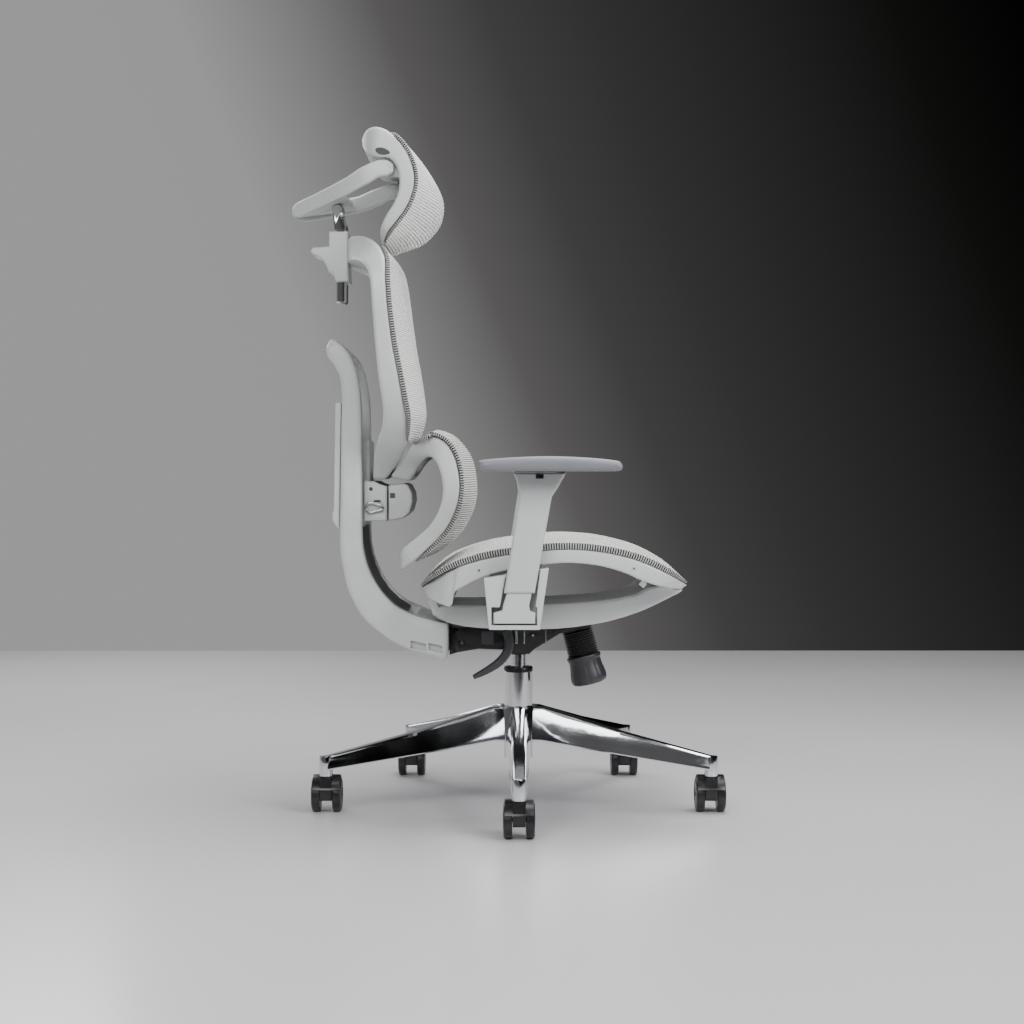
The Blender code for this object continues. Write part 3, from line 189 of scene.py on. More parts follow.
# Chrome plate on ground steel: a clean mirror, calmer than the cast base.
chrome = surface("chrome_plate", "#DCDDDF", 0.09, 1.0, mottle=0.01, swing=0.02, grain_mm=30,
                 depth_mm=0.05)
column = [(0.0, 0.0800), (0.0235, 0.0800), (0.0250, 0.0815), (0.0250, 0.2338), (0.0245, 0.2346),
          (0.0240, 0.2350), (0.0206, 0.2350), (0.0206, 0.2202), (0.0153, 0.2202),
          (0.0153, 0.0982), (0.0, 0.0982)]
place("lift_column", turned(column, (0, 0, 0), (0, 0, 1), 72), chrome, "base", ["lift_tube"],
      25)
collar = [(0.0144, 0.2207), (0.0201, 0.2207), (0.0201, 0.2353), (0.0252, 0.2353), (0.0257, 0.2360),
          (0.0257, 0.2408), (0.0250, 0.2424), (0.0236, 0.2430), (0.0170, 0.2430),
          (0.0160, 0.2424), (0.0144, 0.2420), (0.0144, 0.2207)]
place("lift_guide", turned(collar, (0, 0, 0), (0, 0, 1), 60), black_nylon, "base",
      ["lift_collar"], 25)
piston = [(0.0, 0.1102), (0.0136, 0.1102), (0.0139, 0.1106), (0.0139, 0.2480), (0.0133, 0.2484),
          (0.0133, 0.2496), (0.0139, 0.2500), (0.0139, 0.2560), (0.0133, 0.2564),
          (0.0133, 0.2576), (0.0139, 0.2580), (0.0139, 0.2648), (0.0125, 0.2664),
          (0.0125, 0.2945), (0.0, 0.2945)]
place("lift_piston", turned(piston, (0, 0, 0), (0, 0, 1), 60), chrome, "lift_rod",
      ["lift_rod"], 25)

# ---- tilt mechanism ----
# A box of pressed steel, powder-coated black, bolted under the seat. The recline pin runs
# through its rear cheeks, and the block that carries the spine turns on that pin.

# Powder coat: black, with an orange-peel grain that breaks up its shine.
powder = surface("black_powder_coat", "#101012", 0.36, mottle=0.12, swing=0.06, grain_mm=1.6,
                 depth_mm=0.06)
# Satin nylon from an eroded mould: dark grey, with no sharp highlight.
charcoal = surface("charcoal_satin_nylon", "#36363A", 0.42, mottle=0.06, swing=0.04,
                   grain_mm=1.1, depth_mm=0.04)


def mesh_of(curve):
    """The solid that a curve makes, as a mesh to edit."""
    made = bpy.data.objects.new("outline", curve)
    bpy.context.scene.collection.objects.link(made)
    data = bpy.data.meshes.new_from_object(made.evaluated_get(
        bpy.context.evaluated_depsgraph_get()))
    bm = bmesh.new()
    bm.from_mesh(data)
    bpy.data.objects.remove(made)
    bpy.data.meshes.remove(data)
    return bm


def plate(loops, thickness):
    """A flat plate from closed outlines in XY, the later ones holes, from z = 0 up."""
    curve = bpy.data.curves.new("outline", "CURVE")
    curve.dimensions = "2D"
    curve.fill_mode = "BOTH"
    curve.extrude = thickness / 2
    for loop in loops:
        spline = curve.splines.new("POLY")
        spline.points.add(len(loop) - 1)
        for point, spot in zip(spline.points, loop):
            point.co = (spot[0], spot[1], 0, 1)
        spline.use_cyclic_u = True
    bm = mesh_of(curve)
    bmesh.ops.remove_doubles(bm, verts=bm.verts, dist=1e-5)
    bmesh.ops.recalc_face_normals(bm, faces=bm.faces)
    bmesh.ops.translate(bm, vec=(0, 0, thickness / 2), verts=bm.verts)
    bmesh.ops.dissolve_limit(bm, angle_limit=0.0005, verts=bm.verts, edges=bm.edges)
    return bm


def rims(bm):
    """The edges round the two flat faces of a plate."""
    return [e for e in bm.edges
            if abs(e.verts[0].co.z - e.verts[1].co.z) < 1e-7 and e.calc_face_angle(0) > 0.5]


def side_plate(shape, low, high, width=0.0, segments=3):
    """A plate whose outline is seen from the side, in (x, z), between two y values."""
    bm = plate([shape], high - low)
    if width:
        bevel(bm, rims(bm), width, segments)
    bmesh.ops.transform(bm, matrix=Matrix(((1, 0, 0, 0), (0, 0, -1, high), (0, 1, 0, 0),
                                           (0, 0, 0, 1))), verts=bm.verts)
    return bm


def disc(spot, way, radius, height, sides=32, dome=0.25):
    """A round head, such as a bolt's or a cap's, standing up from spot along way."""
    spot, way = Vector(spot), Vector(way)
    profile = [(0.0, 0.0), (radius, 0.0), (radius, height * (1 - dome)),
               (radius * 0.94, height * (1 - dome / 3)), (radius * 0.80, height), (0.0, height)]
    return turned(profile, spot, spot + way, sides)


def plate_pair(shape, near, far, width=0.0, segments=2):
    """Two side plates, left and right, between these distances from the middle."""
    pair = []
    for side in (-1, 1):
        low, high = sorted((side * near, side * far))
        pair.append(side_plate(shape, low, high, width, segments))
    return pair


def disc_pair(x, out, z, radius, height, sides=20, dome=0.25):
    """Two heads, left and right, on faces this far out from the middle."""
    return [disc((x, side * out, z), (0, side, 0), radius, height, sides, dome)
            for side in (-1, 1)]


def joined(shapes):
    """Several shapes as one mesh."""
    bm = bmesh.new()
    for shape in shapes:
        data = bpy.data.meshes.new("loose")
        shape.to_mesh(data)
        shape.free()
        bm.from_mesh(data)
        bpy.data.meshes.remove(data)
    return bm


dress("tilt_box", "tilt_housing", powder, "seat", 0.0010, 3)
dress("spine_block", "tilt_carrier", powder, "back", 0.0010, 3)
dress("recline_pin", "tilt_pin", powder, "seat")

# Each cheek of the box has a hex bolt, two rivets, a hinge patch and three bright strips. A small
# bright zinc disc on the bolt's head and on the pin's end is a painted highlight.
CHEEK, PATCH = 0.0739, 0.0760
bolts = (disc_pair(0.0250, CHEEK, 0.3050, 0.0062, 0.0030, 6, 0.4)
         + disc_pair(-0.0560, CHEEK, 0.2855, 0.0022, 0.0012, 20, 0.4)
         + disc_pair(0.0620, CHEEK, 0.3110, 0.0022, 0.0012, 20, 0.4))
# Painted highlights: small bright zinc discs on the bolt's head and on the recline pin's end.
strips_and_glints = (disc_pair(0.0250, 0.0768, 0.3050, 0.0022, 0.0010, 20, 0.5)
          + disc_pair(-0.0988, 0.0764, 0.2925, 0.0018, 0.0010, 20, 0.5))
for low_x, high_x in ((-0.0060, -0.0015), (0.0085, 0.0115), (0.0465, 0.0485)):
    strips_and_glints += plate_pair([(low_x, 0.2900), (high_x, 0.2900), (high_x, 0.3130),
                          (low_x, 0.3130)], CHEEK, PATCH, 0.0004)
patches = plate_pair([(-0.0650, 0.2890), (-0.0430, 0.2880), (-0.0430, 0.3120),
                      (-0.0650, 0.3120)], CHEEK, PATCH, 0.0006)
place("tilt_box_bolts", joined(bolts), powder, "seat", [], 20)
place("tilt_box_patches", joined(patches), charcoal, "seat", [], 20)
place("tilt_box_strips_and_glints", joined(strips_and_glints), zinc, "seat", [], 20)

# ---- height lever and tension knob ----
# Both grips are charcoal nylon with a satin grain. The lever's paddle hangs back and down
# from the box's side. The knob turns a spring screw inside a ribbed black bellows.

dress("lever_paddle", "height_lever", charcoal, "height_lever", 0.0018, 3, 24)

knob_top, knob_end = Vector((0.104, 0, 0.312)), Vector((0.129, 0, 0.209))
knob_way = (knob_end - knob_top).normalized()
bellows_start = knob_top + knob_way * 0.0050
FOLDS, FOLD_STEP = 11, 0.00398
folds = [(0.0066, 0.0001), (0.0240, 0.0001)]
for i in range(FOLDS):
    at = 0.0001 + i * FOLD_STEP
    folds += [(0.0256, at + 0.0003), (0.0273, at + 0.0012), (0.0277, at + 0.0020),
              (0.0273, at + 0.0028), (0.0256, at + 0.0037)]
folds += [(0.0250, FOLDS * FOLD_STEP), (0.0066, FOLDS * FOLD_STEP), (0.0066, 0.0001)]
place("bellows", turned(folds, bellows_start, knob_end, 64), black_nylon, "seat",
      ["tension_bellows"], 50)

grip = [(0.0, 0.0), (0.0055, 0.0), (0.0059, 0.0004), (0.0059, 0.0556), (0.0282, 0.0556),
        (0.0297, 0.0560), (0.0304, 0.0572), (0.0304, 0.0610), (0.0298, 0.0626), (0.0284, 0.0640),
        (0.0284, 0.0700), (0.0293, 0.0780), (0.0308, 0.0850), (0.0320, 0.0920), (0.0322, 0.0980),
        (0.0314, 0.1024), (0.0292, 0.1054), (0.0250, 0.1074), (0.0150, 0.1085), (0.0, 0.1088)]
FLUTES, FLUTE_DEEP, HAND_START, HAND_RADIUS = 10, 0.0010, 0.066, 0.026
grip_start = knob_top - knob_way * 0.0055
knob = turned(grip, grip_start, knob_end, 96)
level = knob_way.to_track_quat("Z", "Y").to_matrix().to_4x4().inverted()
for vert in knob.verts:
    own = level @ (vert.co - grip_start)
    if own.z > HAND_START and math.hypot(own.x, own.y) > HAND_RADIUS:
        flute = FLUTE_DEEP * max(0.0, math.cos(math.atan2(own.y, own.x) * FLUTES)) ** 4
        axis_point = grip_start + knob_way * own.z
        vert.co += (axis_point - vert.co).normalized() * flute
place("knob_grip", knob, charcoal, "tension_knob", ["tension_knob"], 40)

# ---- seat rim ----
# The seat's shell is moulded in light grey glass-filled nylon. The rim is one bowed ring
# with softly rounded edges. Small screws along its sides hold the sheet's sewn strip.

# Glass-filled nylon from a fine-grained mould: pale, even and half matt.
grey_nylon = surface("light_grey_moulded_nylon", "#C6C9C8", 0.44, mottle=0.025, swing=0.05,
                     grain_mm=0.9, depth_mm=0.03)
# Painted shade for the bottom of a small hole or hollow, which little light reaches: dark and dull.
painted_hole_shade = surface("shadowed_screw_hole", "#3B3D3D", 0.60, mottle=0.1)


def smooth(points, steps, closed=False):
    """A curve through the points, with this many steps between each two."""
    points = [Vector(p) for p in points]
    count = len(points)
    made = []
    for i in range(count if closed else count - 1):
        if closed:
            a, b, c, d = (points[(i + k) % count] for k in (-1, 0, 1, 2))
        else:
            a, b = points[max(i - 1, 0)], points[i]
            c, d = points[i + 1], points[min(i + 2, count - 1)]
        for k in range(steps):
            t = k / steps
            made.append(b + (c - a) * (t / 2) + (2 * a - 5 * b + 4 * c - d) * (t * t / 2)
                        + (3 * b - a - 3 * c + d) * (t ** 3 / 2))
    return made if closed else made + [points[-1]]


def rails(stations, steps=16):
    """Two matched side curves, (x, z) of a shell's back face and of its front face, by length."""
    points = smooth(stations, steps)
    lengths = [0.0]
    for last, here in zip(points, points[1:]):
        step = Vector((here[0] + here[2] - last[0] - last[2],
                       here[1] + here[3] - last[1] - last[3]))
        lengths.append(lengths[-1] + step.length / 2)
    return lengths, points


def on_rails(track, along, part):
    """The (x, z) at this length, from the back curve (part 0) to the front curve (part 1)."""
    lengths, points = track
    low, high = 0, len(lengths) - 1
    along = min(max(along, 0), lengths[-1])
    while high - low > 1:
        half = (low + high) // 2
        low, high = (half, high) if lengths[half] <= along else (low, half)
    t = (along - lengths[low]) / (lengths[high] - lengths[low])
    here = points[low].lerp(points[high], t)
    return here[0] + (here[2] - here[0]) * part, here[1] + (here[3] - here[1]) * part


def widths(table):
    """A half-width that varies along the length, through (length, half-width) pairs."""
    points = smooth(table, 12)

    def at(along):
        if along <= points[0][0]:
            return points[0][1]
        for last, here in zip(points, points[1:]):
            if along <= here[0]:
                return last[1] + (here[1] - last[1]) * (along - last[0]) / (here[0] - last[0])
        return points[-1][1]
    return at


def edge_at(start, end, half, corner):
    """The half-width at a length, with the two ends' corners rounded off."""
    (start_long, start_wide), (end_long, end_wide) = corner

    def at(along):
        width = half(along)
        if along < start + start_long:
            t = min(max(1 - (along - start) / start_long, 0), 1)
            width -= start_wide * (1 - math.sqrt(1 - t * t))
        if along > end - end_long:
            t = min(max(1 - (end - along) / end_long, 0), 1)
            width -= end_wide * (1 - math.sqrt(1 - t * t))
        return width
    return at


def outline(start, end, half, corner, corner_steps=10, side_steps=30):
    """A closed loop from start to end whose corners are rounded."""
    at = edge_at(start, end, half, corner)
    (start_long, _), (end_long, _) = corner
    along = [start + start_long * (1 - math.cos(math.pi / 2 * i / corner_steps))
             for i in range(corner_steps)]
    along += [start + start_long + (end - start - start_long - end_long) * i / side_steps
              for i in range(side_steps + 1)]
    along += [end - end_long * (1 - math.cos(math.pi / 2 * (1 - i / corner_steps)))
              for i in range(1, corner_steps + 1)]
    side = [(x, at(x)) for x in along]
    return side + [(x, -y) for x, y in reversed(side)]


def shell(loops, track, width, low=0.0, high=1.0, step=0.006, segments=4):
    """A flat plate with rounded rims, cut into narrow strips and bowed between two rails."""
    thickness = 0.02
    bm = plate(loops, thickness)
    bevel(bm, rims(bm), width, segments, clamp=False)
    count = int(track[0][-1] / step)
    for i in range(1, count):
        bmesh.ops.bisect_plane(bm, geom=bm.verts[:] + bm.edges[:] + bm.faces[:], dist=1e-6,
                               plane_co=(track[0][-1] * i / count, 0, 0), plane_no=(1, 0, 0))
    bmesh.ops.triangulate(bm, faces=[f for f in bm.faces if len(f.verts) > 4])
    for vert in bm.verts:
        x, z = on_rails(track, vert.co.x, low + (high - low) * vert.co.z / thickness)
        vert.co = Vector((x, vert.co.y, z))
    return bm


def changed(bm, other, operation):
    """One shape joined to another or cut by it."""
    both = []
    for shape in (bm, other):
        bmesh.ops.recalc_face_normals(shape, faces=shape.faces)
        data = bpy.data.meshes.new("operand")
        shape.to_mesh(data)
        shape.free()
        made = bpy.data.objects.new("operand", data)
        bpy.context.scene.collection.objects.link(made)
        both.append(made)
    change = both[0].modifiers.new("boolean", "BOOLEAN")
    change.object = both[1]
    change.operation = operation
    change.solver = "EXACT"
    result = bmesh.new()
    result.from_mesh(both[0].evaluated_get(bpy.context.evaluated_depsgraph_get()).to_mesh())
    for made in both:
        data = made.data
        bpy.data.objects.remove(made)
        bpy.data.meshes.remove(data)
    bmesh.ops.remove_doubles(result, verts=result.verts, dist=1e-6)
    return result


RIM_RAILS = [(-0.163, 0.385, -0.168, 0.391), (-0.148, 0.377, -0.143, 0.4095),
             (-0.128, 0.370, -0.121, 0.4230), (-0.1125, 0.3675, -0.107, 0.4295),
             (-0.1075, 0.3890, -0.101, 0.4325), (-0.098, 0.3970, -0.090, 0.4370),
             (-0.060, 0.4165, -0.054, 0.4470), (-0.010, 0.4305, -0.010, 0.4545),
             (0.050, 0.4385, 0.050, 0.4610), (0.090, 0.4400, 0.090, 0.4620),
             (0.135, 0.4350, 0.135, 0.4580), (0.176, 0.4230, 0.180, 0.4485),
             (0.202, 0.4110, 0.214, 0.4365), (0.232, 0.4010, 0.250, 0.4190),
             (0.262, 0.3940, 0.273, 0.4060), (0.281, 0.3915, 0.288, 0.3965)]
track = rails(RIM_RAILS)
whole = track[0][-1]
SEAT_WIDTHS = [(0.0, 0.205), (0.06, 0.238), (0.16, 0.250), (0.30, 0.250), (0.40, 0.243)]
outer = widths(SEAT_WIDTHS + [(whole, 0.215)])
inner = widths([(0.0, 0.180), (0.06, 0.212), (0.16, 0.224), (0.30, 0.224), (0.40, 0.217),
                (whole, 0.190)])
SEAT_CORNER = ((0.050, 0.075), (0.060, 0.090))
rim = shell([outline(0.0, whole, outer, SEAT_CORNER),
             outline(0.058, whole - 0.048, inner, ((0.030, 0.050), (0.040, 0.060)))],
            track, 0.0032)
place("seat_rim", rim, grey_nylon, "seat", ["seat_frame"])

# Dark discs of painted shade on the rim's sides stand for its screw holes.
holes = []
for x, z in ((-0.0660, 0.4280), (0.0790, 0.4520), (0.1900, 0.4310)):
    holes += disc_pair(x, 0.2495, z, 0.0017, 0.0008)
place("seat_rim_screw_hole_shade", joined(holes), painted_hole_shade, "seat", [], 20)

# ---- seat carrier ----
# A deep tray in the same grey nylon is screwed on top of the tilt box. A trough-shaped
# cross beam in it holds up the rim and takes the feet of both arms.

dress("seat_tray", "seat_carrier", grey_nylon, "seat", 0.0014, 3)

tabs = plate_pair([(0.2000, 0.4030), (0.2075, 0.3965), (0.2135, 0.4040), (0.2065, 0.4105)],
                  0.2080, 0.2190, 0.0006)
# Unpainted white nylon: brighter than the shell beside it.
pale_nylon = surface("white_moulded_nylon", "#E4E4E0", 0.45)
place("rim_clips", joined(tabs), pale_nylon, "seat", [], 20)

# ---- seat sheet ----
# The seat is a taut sheet of off-white elastomer mesh, knitted in fine ribs, stretched over
# the rim. Its edge is sewn round a dark grey strip that the rim's groove holds.


def new_cloth(name, roughness):
    """A cloth's material, with its tree and the two axes of its UV map, in metres."""
    skin = bpy.data.materials.new(name)
    skin.use_nodes = True
    tree = skin.node_tree
    tree.nodes["Principled BSDF"].inputs["Roughness"].default_value = roughness
    spot = add(tree, "ShaderNodeUVMap", uv_map="Cloth").outputs["UV"]
    split = add(tree, "ShaderNodeSeparateXYZ", {"Vector": spot})
    return skin, tree, split.outputs["X"], split.outputs["Y"]


def wave(tree, value, period_mm):
    """A sine of the value, which is in metres, with this period."""
    turns = add(tree, "ShaderNodeMath", {0: value, 1: math.tau * 1000 / period_mm},
                operation="MULTIPLY")
    return add(tree, "ShaderNodeMath", {0: turns.outputs[0]}, operation="SINE").outputs[0]


def dye(tree, height, swing, dark, light, depth):
    """Colours the cloth from dark to light as the height goes from -swing to swing."""
    share = add(tree, "ShaderNodeMapRange", {"Value": height, "From Min": -swing,
                                             "From Max": swing}).outputs["Result"]
    ramp = add(tree, "ShaderNodeValToRGB", {"Fac": share})
    for stop, (position, code) in zip(ramp.color_ramp.elements, (dark, light)):
        stop.position = position
        stop.color = linear(code)
    bump = add(tree, "ShaderNodeBump", {"Height": height, "Strength": 0.6, "Distance": depth})
    shader = tree.nodes["Principled BSDF"]
    tree.links.new(ramp.outputs["Color"], shader.inputs["Base Color"])
    tree.links.new(bump.outputs["Normal"], shader.inputs["Normal"])


def mesh_cloth(name, light, dark, rib_mm, cross_mm, slant=0.0, crease=0.34, cross_share=0.35):
    """Off-white cords with painted shade in the gaps and creases between them, with the ribs' step
    along V.
    """
    skin, tree, across, along = new_cloth(name, 0.62)
    tree.nodes["Principled BSDF"].inputs["Sheen Weight"].default_value = 0.15
    if slant:
        zigzag = add(tree, "ShaderNodeMath", {0: across, 1: slant / 1000}, operation="PINGPONG")
        along = add(tree, "ShaderNodeMath", {0: along, 1: zigzag.outputs[0]},
                    operation="ADD").outputs[0]
    both = add(tree, "ShaderNodeMath", {0: wave(tree, across, cross_mm), 1: cross_share,
                                        2: wave(tree, along, rib_mm)}, operation="MULTIPLY_ADD")
    # The dark stop is painted shade in the gaps and creases between the cords.
    dye(tree, both.outputs[0], 1.2, (crease - 0.20, dark), (crease + 0.12, light), 0.0003)
    return skin


def edge_strip(name, light, dark, tick_mm):
    """Dark webbing with light stitches across it, which follow each other along U."""
    skin, tree, along, _ = new_cloth(name, 0.8)
    dye(tree, wave(tree, along, tick_mm), 1.0, (0.45, dark), (0.85, light), 0.0004)
    return skin


# A sheet's slab ends this far inside its rails, and thins to this between its edges.
SHEET_MARGIN, SHEET_THIN, SHEET_COLUMNS, STRIP_LEVELS = 0.0005, 0.0025, 72, 6


def stretched(name, track, half, corner, edge, rib_mm, skins, body, node, rib_depth=0.0004,
              samples=4):
    """The sheet and its sewn edge strip, lying where the CAD sheet's outer face lies."""
    start, end = SHEET_MARGIN, track[0][-1] - SHEET_MARGIN
    at = edge_at(start, end, half, corner)
    points = track[1]
    middle = points[len(points) // 2]
    facing = Vector((middle[2] - middle[0], 0, middle[3] - middle[1]))

    def lie(along, y, share, lift=0.0):
        across = min(abs(y) / at(along), 1)
        endness = abs(2 * (along - start) / (end - start) - 1)
        rim = across ** 10 * (1 - endness ** 8)
        part = 1 - across ** 2.5
        x, z = on_rails(track, along, part)
        x2, z2 = on_rails(track, along + 0.002, part)
        x1, z1 = on_rails(track, along - 0.002, part)
        out = Vector((z2 - z1, 0, x1 - x2)).normalized()
        if out.dot(facing) < 0:
            out = -out
        depth = SHEET_THIN + (edge - SHEET_THIN) * rim
        return Vector((x, y, z)) + out * (depth * share + 0.0006 + lift)

    rows = int((end - start) * 1000 / rib_mm * samples)
    bm = bmesh.new()
    bmesh.ops.create_grid(bm, x_segments=rows, y_segments=SHEET_COLUMNS, size=0.5)
    uv = bm.loops.layers.uv.new("Cloth")
    unrolled = {}
    for vert in bm.verts:
        along = start + (end - start) * (vert.co.x + 0.5)
        y = 2 * vert.co.y * at(along)
        unrolled[vert.index] = (y, along)
    for face in bm.faces:
        for loop in face.loops:
            loop[uv].uv = unrolled[loop.vert.index]
    for vert in bm.verts:
        y, along = unrolled[vert.index]
        cord = math.cos(math.tau * (along * 1000 / rib_mm - 0.25))
        vert.co = lie(along, y, 1.0, rib_depth * (cord - 1) - 0.0006)
    bmesh.ops.recalc_face_normals(bm, faces=bm.faces)
    area = sum(face.calc_area() for face in bm.faces)
    bmesh.ops.solidify(bm, geom=bm.faces[:], thickness=0.0008)
    sheet = place(f"{name}_sheet", bm, skins[0], body, [node], 60)
    flat = (2 * max(at(start + (end - start) * i / 50) for i in range(51)), end - start)

    loop = outline(start, end, half, corner, 24, 60)
    bm = bmesh.new()
    ring = [bm.verts.new((x, y, 0)) for x, y in loop]
    sides = [bm.edges.new((ring[i], ring[(i + 1) % len(ring)])) for i in range(len(ring))]
    lengths = [0.0]
    for i in range(len(loop)):
        a, b = loop[i], loop[(i + 1) % len(loop)]
        lengths.append(lengths[-1] + math.hypot(b[0] - a[0], b[1] - a[1]))
    uv = bm.loops.layers.uv.new("Cloth")
    order = {vert: i for i, vert in enumerate(ring)}
    level = {vert: 0 for vert in ring}
    edges = sides
    for k in range(1, STRIP_LEVELS + 1):
        made = bmesh.ops.extrude_edge_only(bm, edges=edges)["geom"]
        new = [g for g in made if isinstance(g, bmesh.types.BMVert)]
        edges = [g for g in made if isinstance(g, bmesh.types.BMEdge)
                 and g.verts[0] in new and g.verts[1] in new]
        for vert in new:
            for link in vert.link_edges:
                other = link.other_vert(vert)
                if other not in new:
                    order[vert] = order[other]
                    level[vert] = k
    for face in bm.faces:
        seam = {order[v] for v in face.verts} == {0, len(ring) - 1}
        for corner_loop in face.loops:
            i = order[corner_loop.vert]
            along = lengths[-1] if seam and i == 0 else lengths[i]
            corner_loop[uv].uv = (along, level[corner_loop.vert] / STRIP_LEVELS * edge)
    centre = Vector(((start + end) / 2, 0))
    for vert in bm.verts:
        x, y = loop[order[vert]]
        share = level[vert] / STRIP_LEVELS
        away = (Vector((x, y)) - centre).normalized()
        inset = 0.0010 * (2 * share - 1) ** 2 - 0.0006
        spot = Vector((x, y)) - away * inset
        vert.co = lie(spot.x, spot.y, share * 0.93)
    bmesh.ops.recalc_face_normals(bm, faces=bm.faces)
    bmesh.ops.solidify(bm, geom=bm.faces[:], thickness=0.0012)
    place(f"{name}_strip", bm, skins[1], body, [], 60)


SEAT_SHEET = [(-0.166, 0.3935, -0.166, 0.3945), (-0.141, 0.4125, -0.141, 0.4190),
              (-0.107, 0.4310, -0.107, 0.4420), (-0.054, 0.4475, -0.054, 0.4610),
              (0.000, 0.4565, 0.000, 0.4710), (0.050, 0.4615, 0.050, 0.4770),
              (0.090, 0.4625, 0.090, 0.4780), (0.135, 0.4585, 0.135, 0.4745),
              (0.180, 0.4490, 0.180, 0.4650), (0.214, 0.4370, 0.216, 0.4530),
              (0.250, 0.4195, 0.252, 0.4330), (0.273, 0.4065, 0.275, 0.4130),
              (0.287, 0.3985, 0.288, 0.4000)]
# Elastomer cords over air, with a zigzag as wide as a rib: off-white crossed by dark lines of
# painted shade in the gaps and creases between the cords.
SEAT_RIB, BACK_RIB, HEAD_RIB = 5.2, 3.9, 4.8
seat_cloth = mesh_cloth("knitted_elastomer_mesh_seat", "#EDECE8", "#2A2A29", SEAT_RIB, 4.4,
                        SEAT_RIB, crease=0.40, cross_share=0.2)
# Sewn polyester webbing: dark and dull, ticked with light stitches.
webbing = edge_strip("dark_grey_sewn_webbing", "#BEBEBB", "#1C1C1F", 4.2)
track = rails(SEAT_SHEET)
whole = track[0][-1]
half = widths(SEAT_WIDTHS + [(whole, 0.215)])
stretched("seat", track, half, SEAT_CORNER, 0.0115, SEAT_RIB,
          (seat_cloth, webbing), "seat", "seat_mesh", rib_depth=0.0002, samples=6)

# ---- arms ----
# Each arm's post is pinned in the cross beam, and a wider sleeve slides up and down on it.
# A black button at the top frees the pad, which turns and slides on a steel plate.

# Moulded polyurethane skin: mid grey, soft and nearly matt.
pad_skin = surface("grey_polyurethane_skin", "#7A7B80", 0.50, mottle=0.03, swing=0.05,
                   grain_mm=1.3, depth_mm=0.05)
ARM_Y, PAD_Y, PAD_WIDE = 0.280, 0.3175, 0.095
PAD_REAR, PAD_MIDDLE, PAD_LONG, PAD_CUTS, PAD_TAPER = -0.068, 0.049, 0.234, 14, 0.16

for name, side in (("right", -1), ("left", 1)):
    dress(f"arm_{name}_column", f"arm_{name}_post", grey_nylon, "seat", 0.0012, 3)
    dress(f"arm_{name}_sheath", f"arm_{name}_sleeve", grey_nylon, f"arm_{name}_sleeve",
          0.0016, 3)
    dress(f"arm_{name}_release", f"arm_{name}_button", black_nylon, f"arm_{name}_button",
          0.0004)
    dress(f"arm_{name}_plate", f"arm_{name}_swivel", powder, f"arm_{name}_swivel",
          0.0006)

    arch = smooth([(-0.0678, 0.5990), (-0.0655, 0.6055), (-0.0590, 0.6100), (-0.012, 0.6140),
                   (0.049, 0.6160), (0.111, 0.6135), (0.155, 0.6090), (0.1635, 0.6040),
                   (0.1655, 0.5985), (0.1625, 0.5935)], 5)
    shape = [tuple(p) for p in arch] + [(0.1570, 0.5918), (-0.0600, 0.5915), (-0.0660, 0.5940)]
    pad = plate([shape], PAD_WIDE)
    bevel(pad, rims(pad), 0.0095, 6, clamp=False)
    bmesh.ops.transform(pad, matrix=Matrix(((1, 0, 0, 0), (0, 0, -1, side * PAD_Y + PAD_WIDE / 2),
                                            (0, 1, 0, 0), (0, 0, 0, 1))), verts=pad.verts)
    for i in range(1, PAD_CUTS):
        bmesh.ops.bisect_plane(pad, geom=pad.verts[:] + pad.edges[:] + pad.faces[:], dist=1e-6,
                               plane_co=(PAD_REAR + PAD_LONG * i / PAD_CUTS, 0, 0),
                               plane_no=(1, 0, 0))
    for vert in pad.verts:
        t = (vert.co.x - PAD_MIDDLE) / (PAD_LONG / 2)
        vert.co.y = side * PAD_Y + (vert.co.y - side * PAD_Y) * (1 - PAD_TAPER * t * t)

    # The swivel plate sits in a well in the pad's underside.
    well = bmesh.new()
    bmesh.ops.create_cube(well, size=1)
    bmesh.ops.scale(well, vec=(0.1280, 0.048, 0.0154), verts=well.verts)
    bmesh.ops.translate(well, vec=(0.0340, side * ARM_Y, 0.5877), verts=well.verts)
    pad = changed(pad, well, "DIFFERENCE")
    armrest = place(f"arm_{name}_rest", pad, pad_skin, f"arm_{name}_pad", [f"arm_{name}_pad"],
                    40)

# ---- spine ----
# The back hangs on one J-shaped spine, moulded in grey nylon as two beams joined at both
# ends. A dark grey web closes its lower half, and a flat grey cover is clipped on behind.

SPINE_RAILS = [(-0.1215, 0.2655, -0.1215, 0.3275), (-0.160, 0.2750, -0.147, 0.3325),
               (-0.196, 0.2865, -0.180, 0.3430), (-0.234, 0.3090, -0.213, 0.3600),
               (-0.268, 0.3400, -0.238, 0.3860), (-0.291, 0.3810, -0.256, 0.4170),
               (-0.3025, 0.4250, -0.266, 0.4480), (-0.3075, 0.4700, -0.2695, 0.4800),
               (-0.3065, 0.5400, -0.2700, 0.5400), (-0.3055, 0.6100, -0.2700, 0.6100),
               (-0.3045, 0.6750, -0.2700, 0.6750), (-0.3035, 0.7200, -0.2715, 0.7150),
               (-0.3070, 0.7520, -0.2765, 0.7520), (-0.3170, 0.7730, -0.2840, 0.7770),
               (-0.3280, 0.7880, -0.2950, 0.7980), (-0.3300, 0.8050, -0.3110, 0.8130),
               (-0.3270, 0.8170, -0.3200, 0.8200)]
track = rails(SPINE_RAILS)
whole = track[0][-1]
outer = widths([(0.0, 0.1175), (0.10, 0.1190), (0.35, 0.1200), (0.55, 0.1190), (whole, 0.1160)])
inner = widths([(0.0, 0.0870), (0.10, 0.0875), (0.35, 0.0885), (0.55, 0.0880), (whole, 0.0870)])
spine = shell([outline(0.0, whole, outer, ((0.008, 0.008), (0.020, 0.030)), 6, 24),
               outline(0.072, whole - 0.040, inner, ((0.012, 0.012), (0.030, 0.030)), 6, 24)],
              track, 0.0060, segments=5)
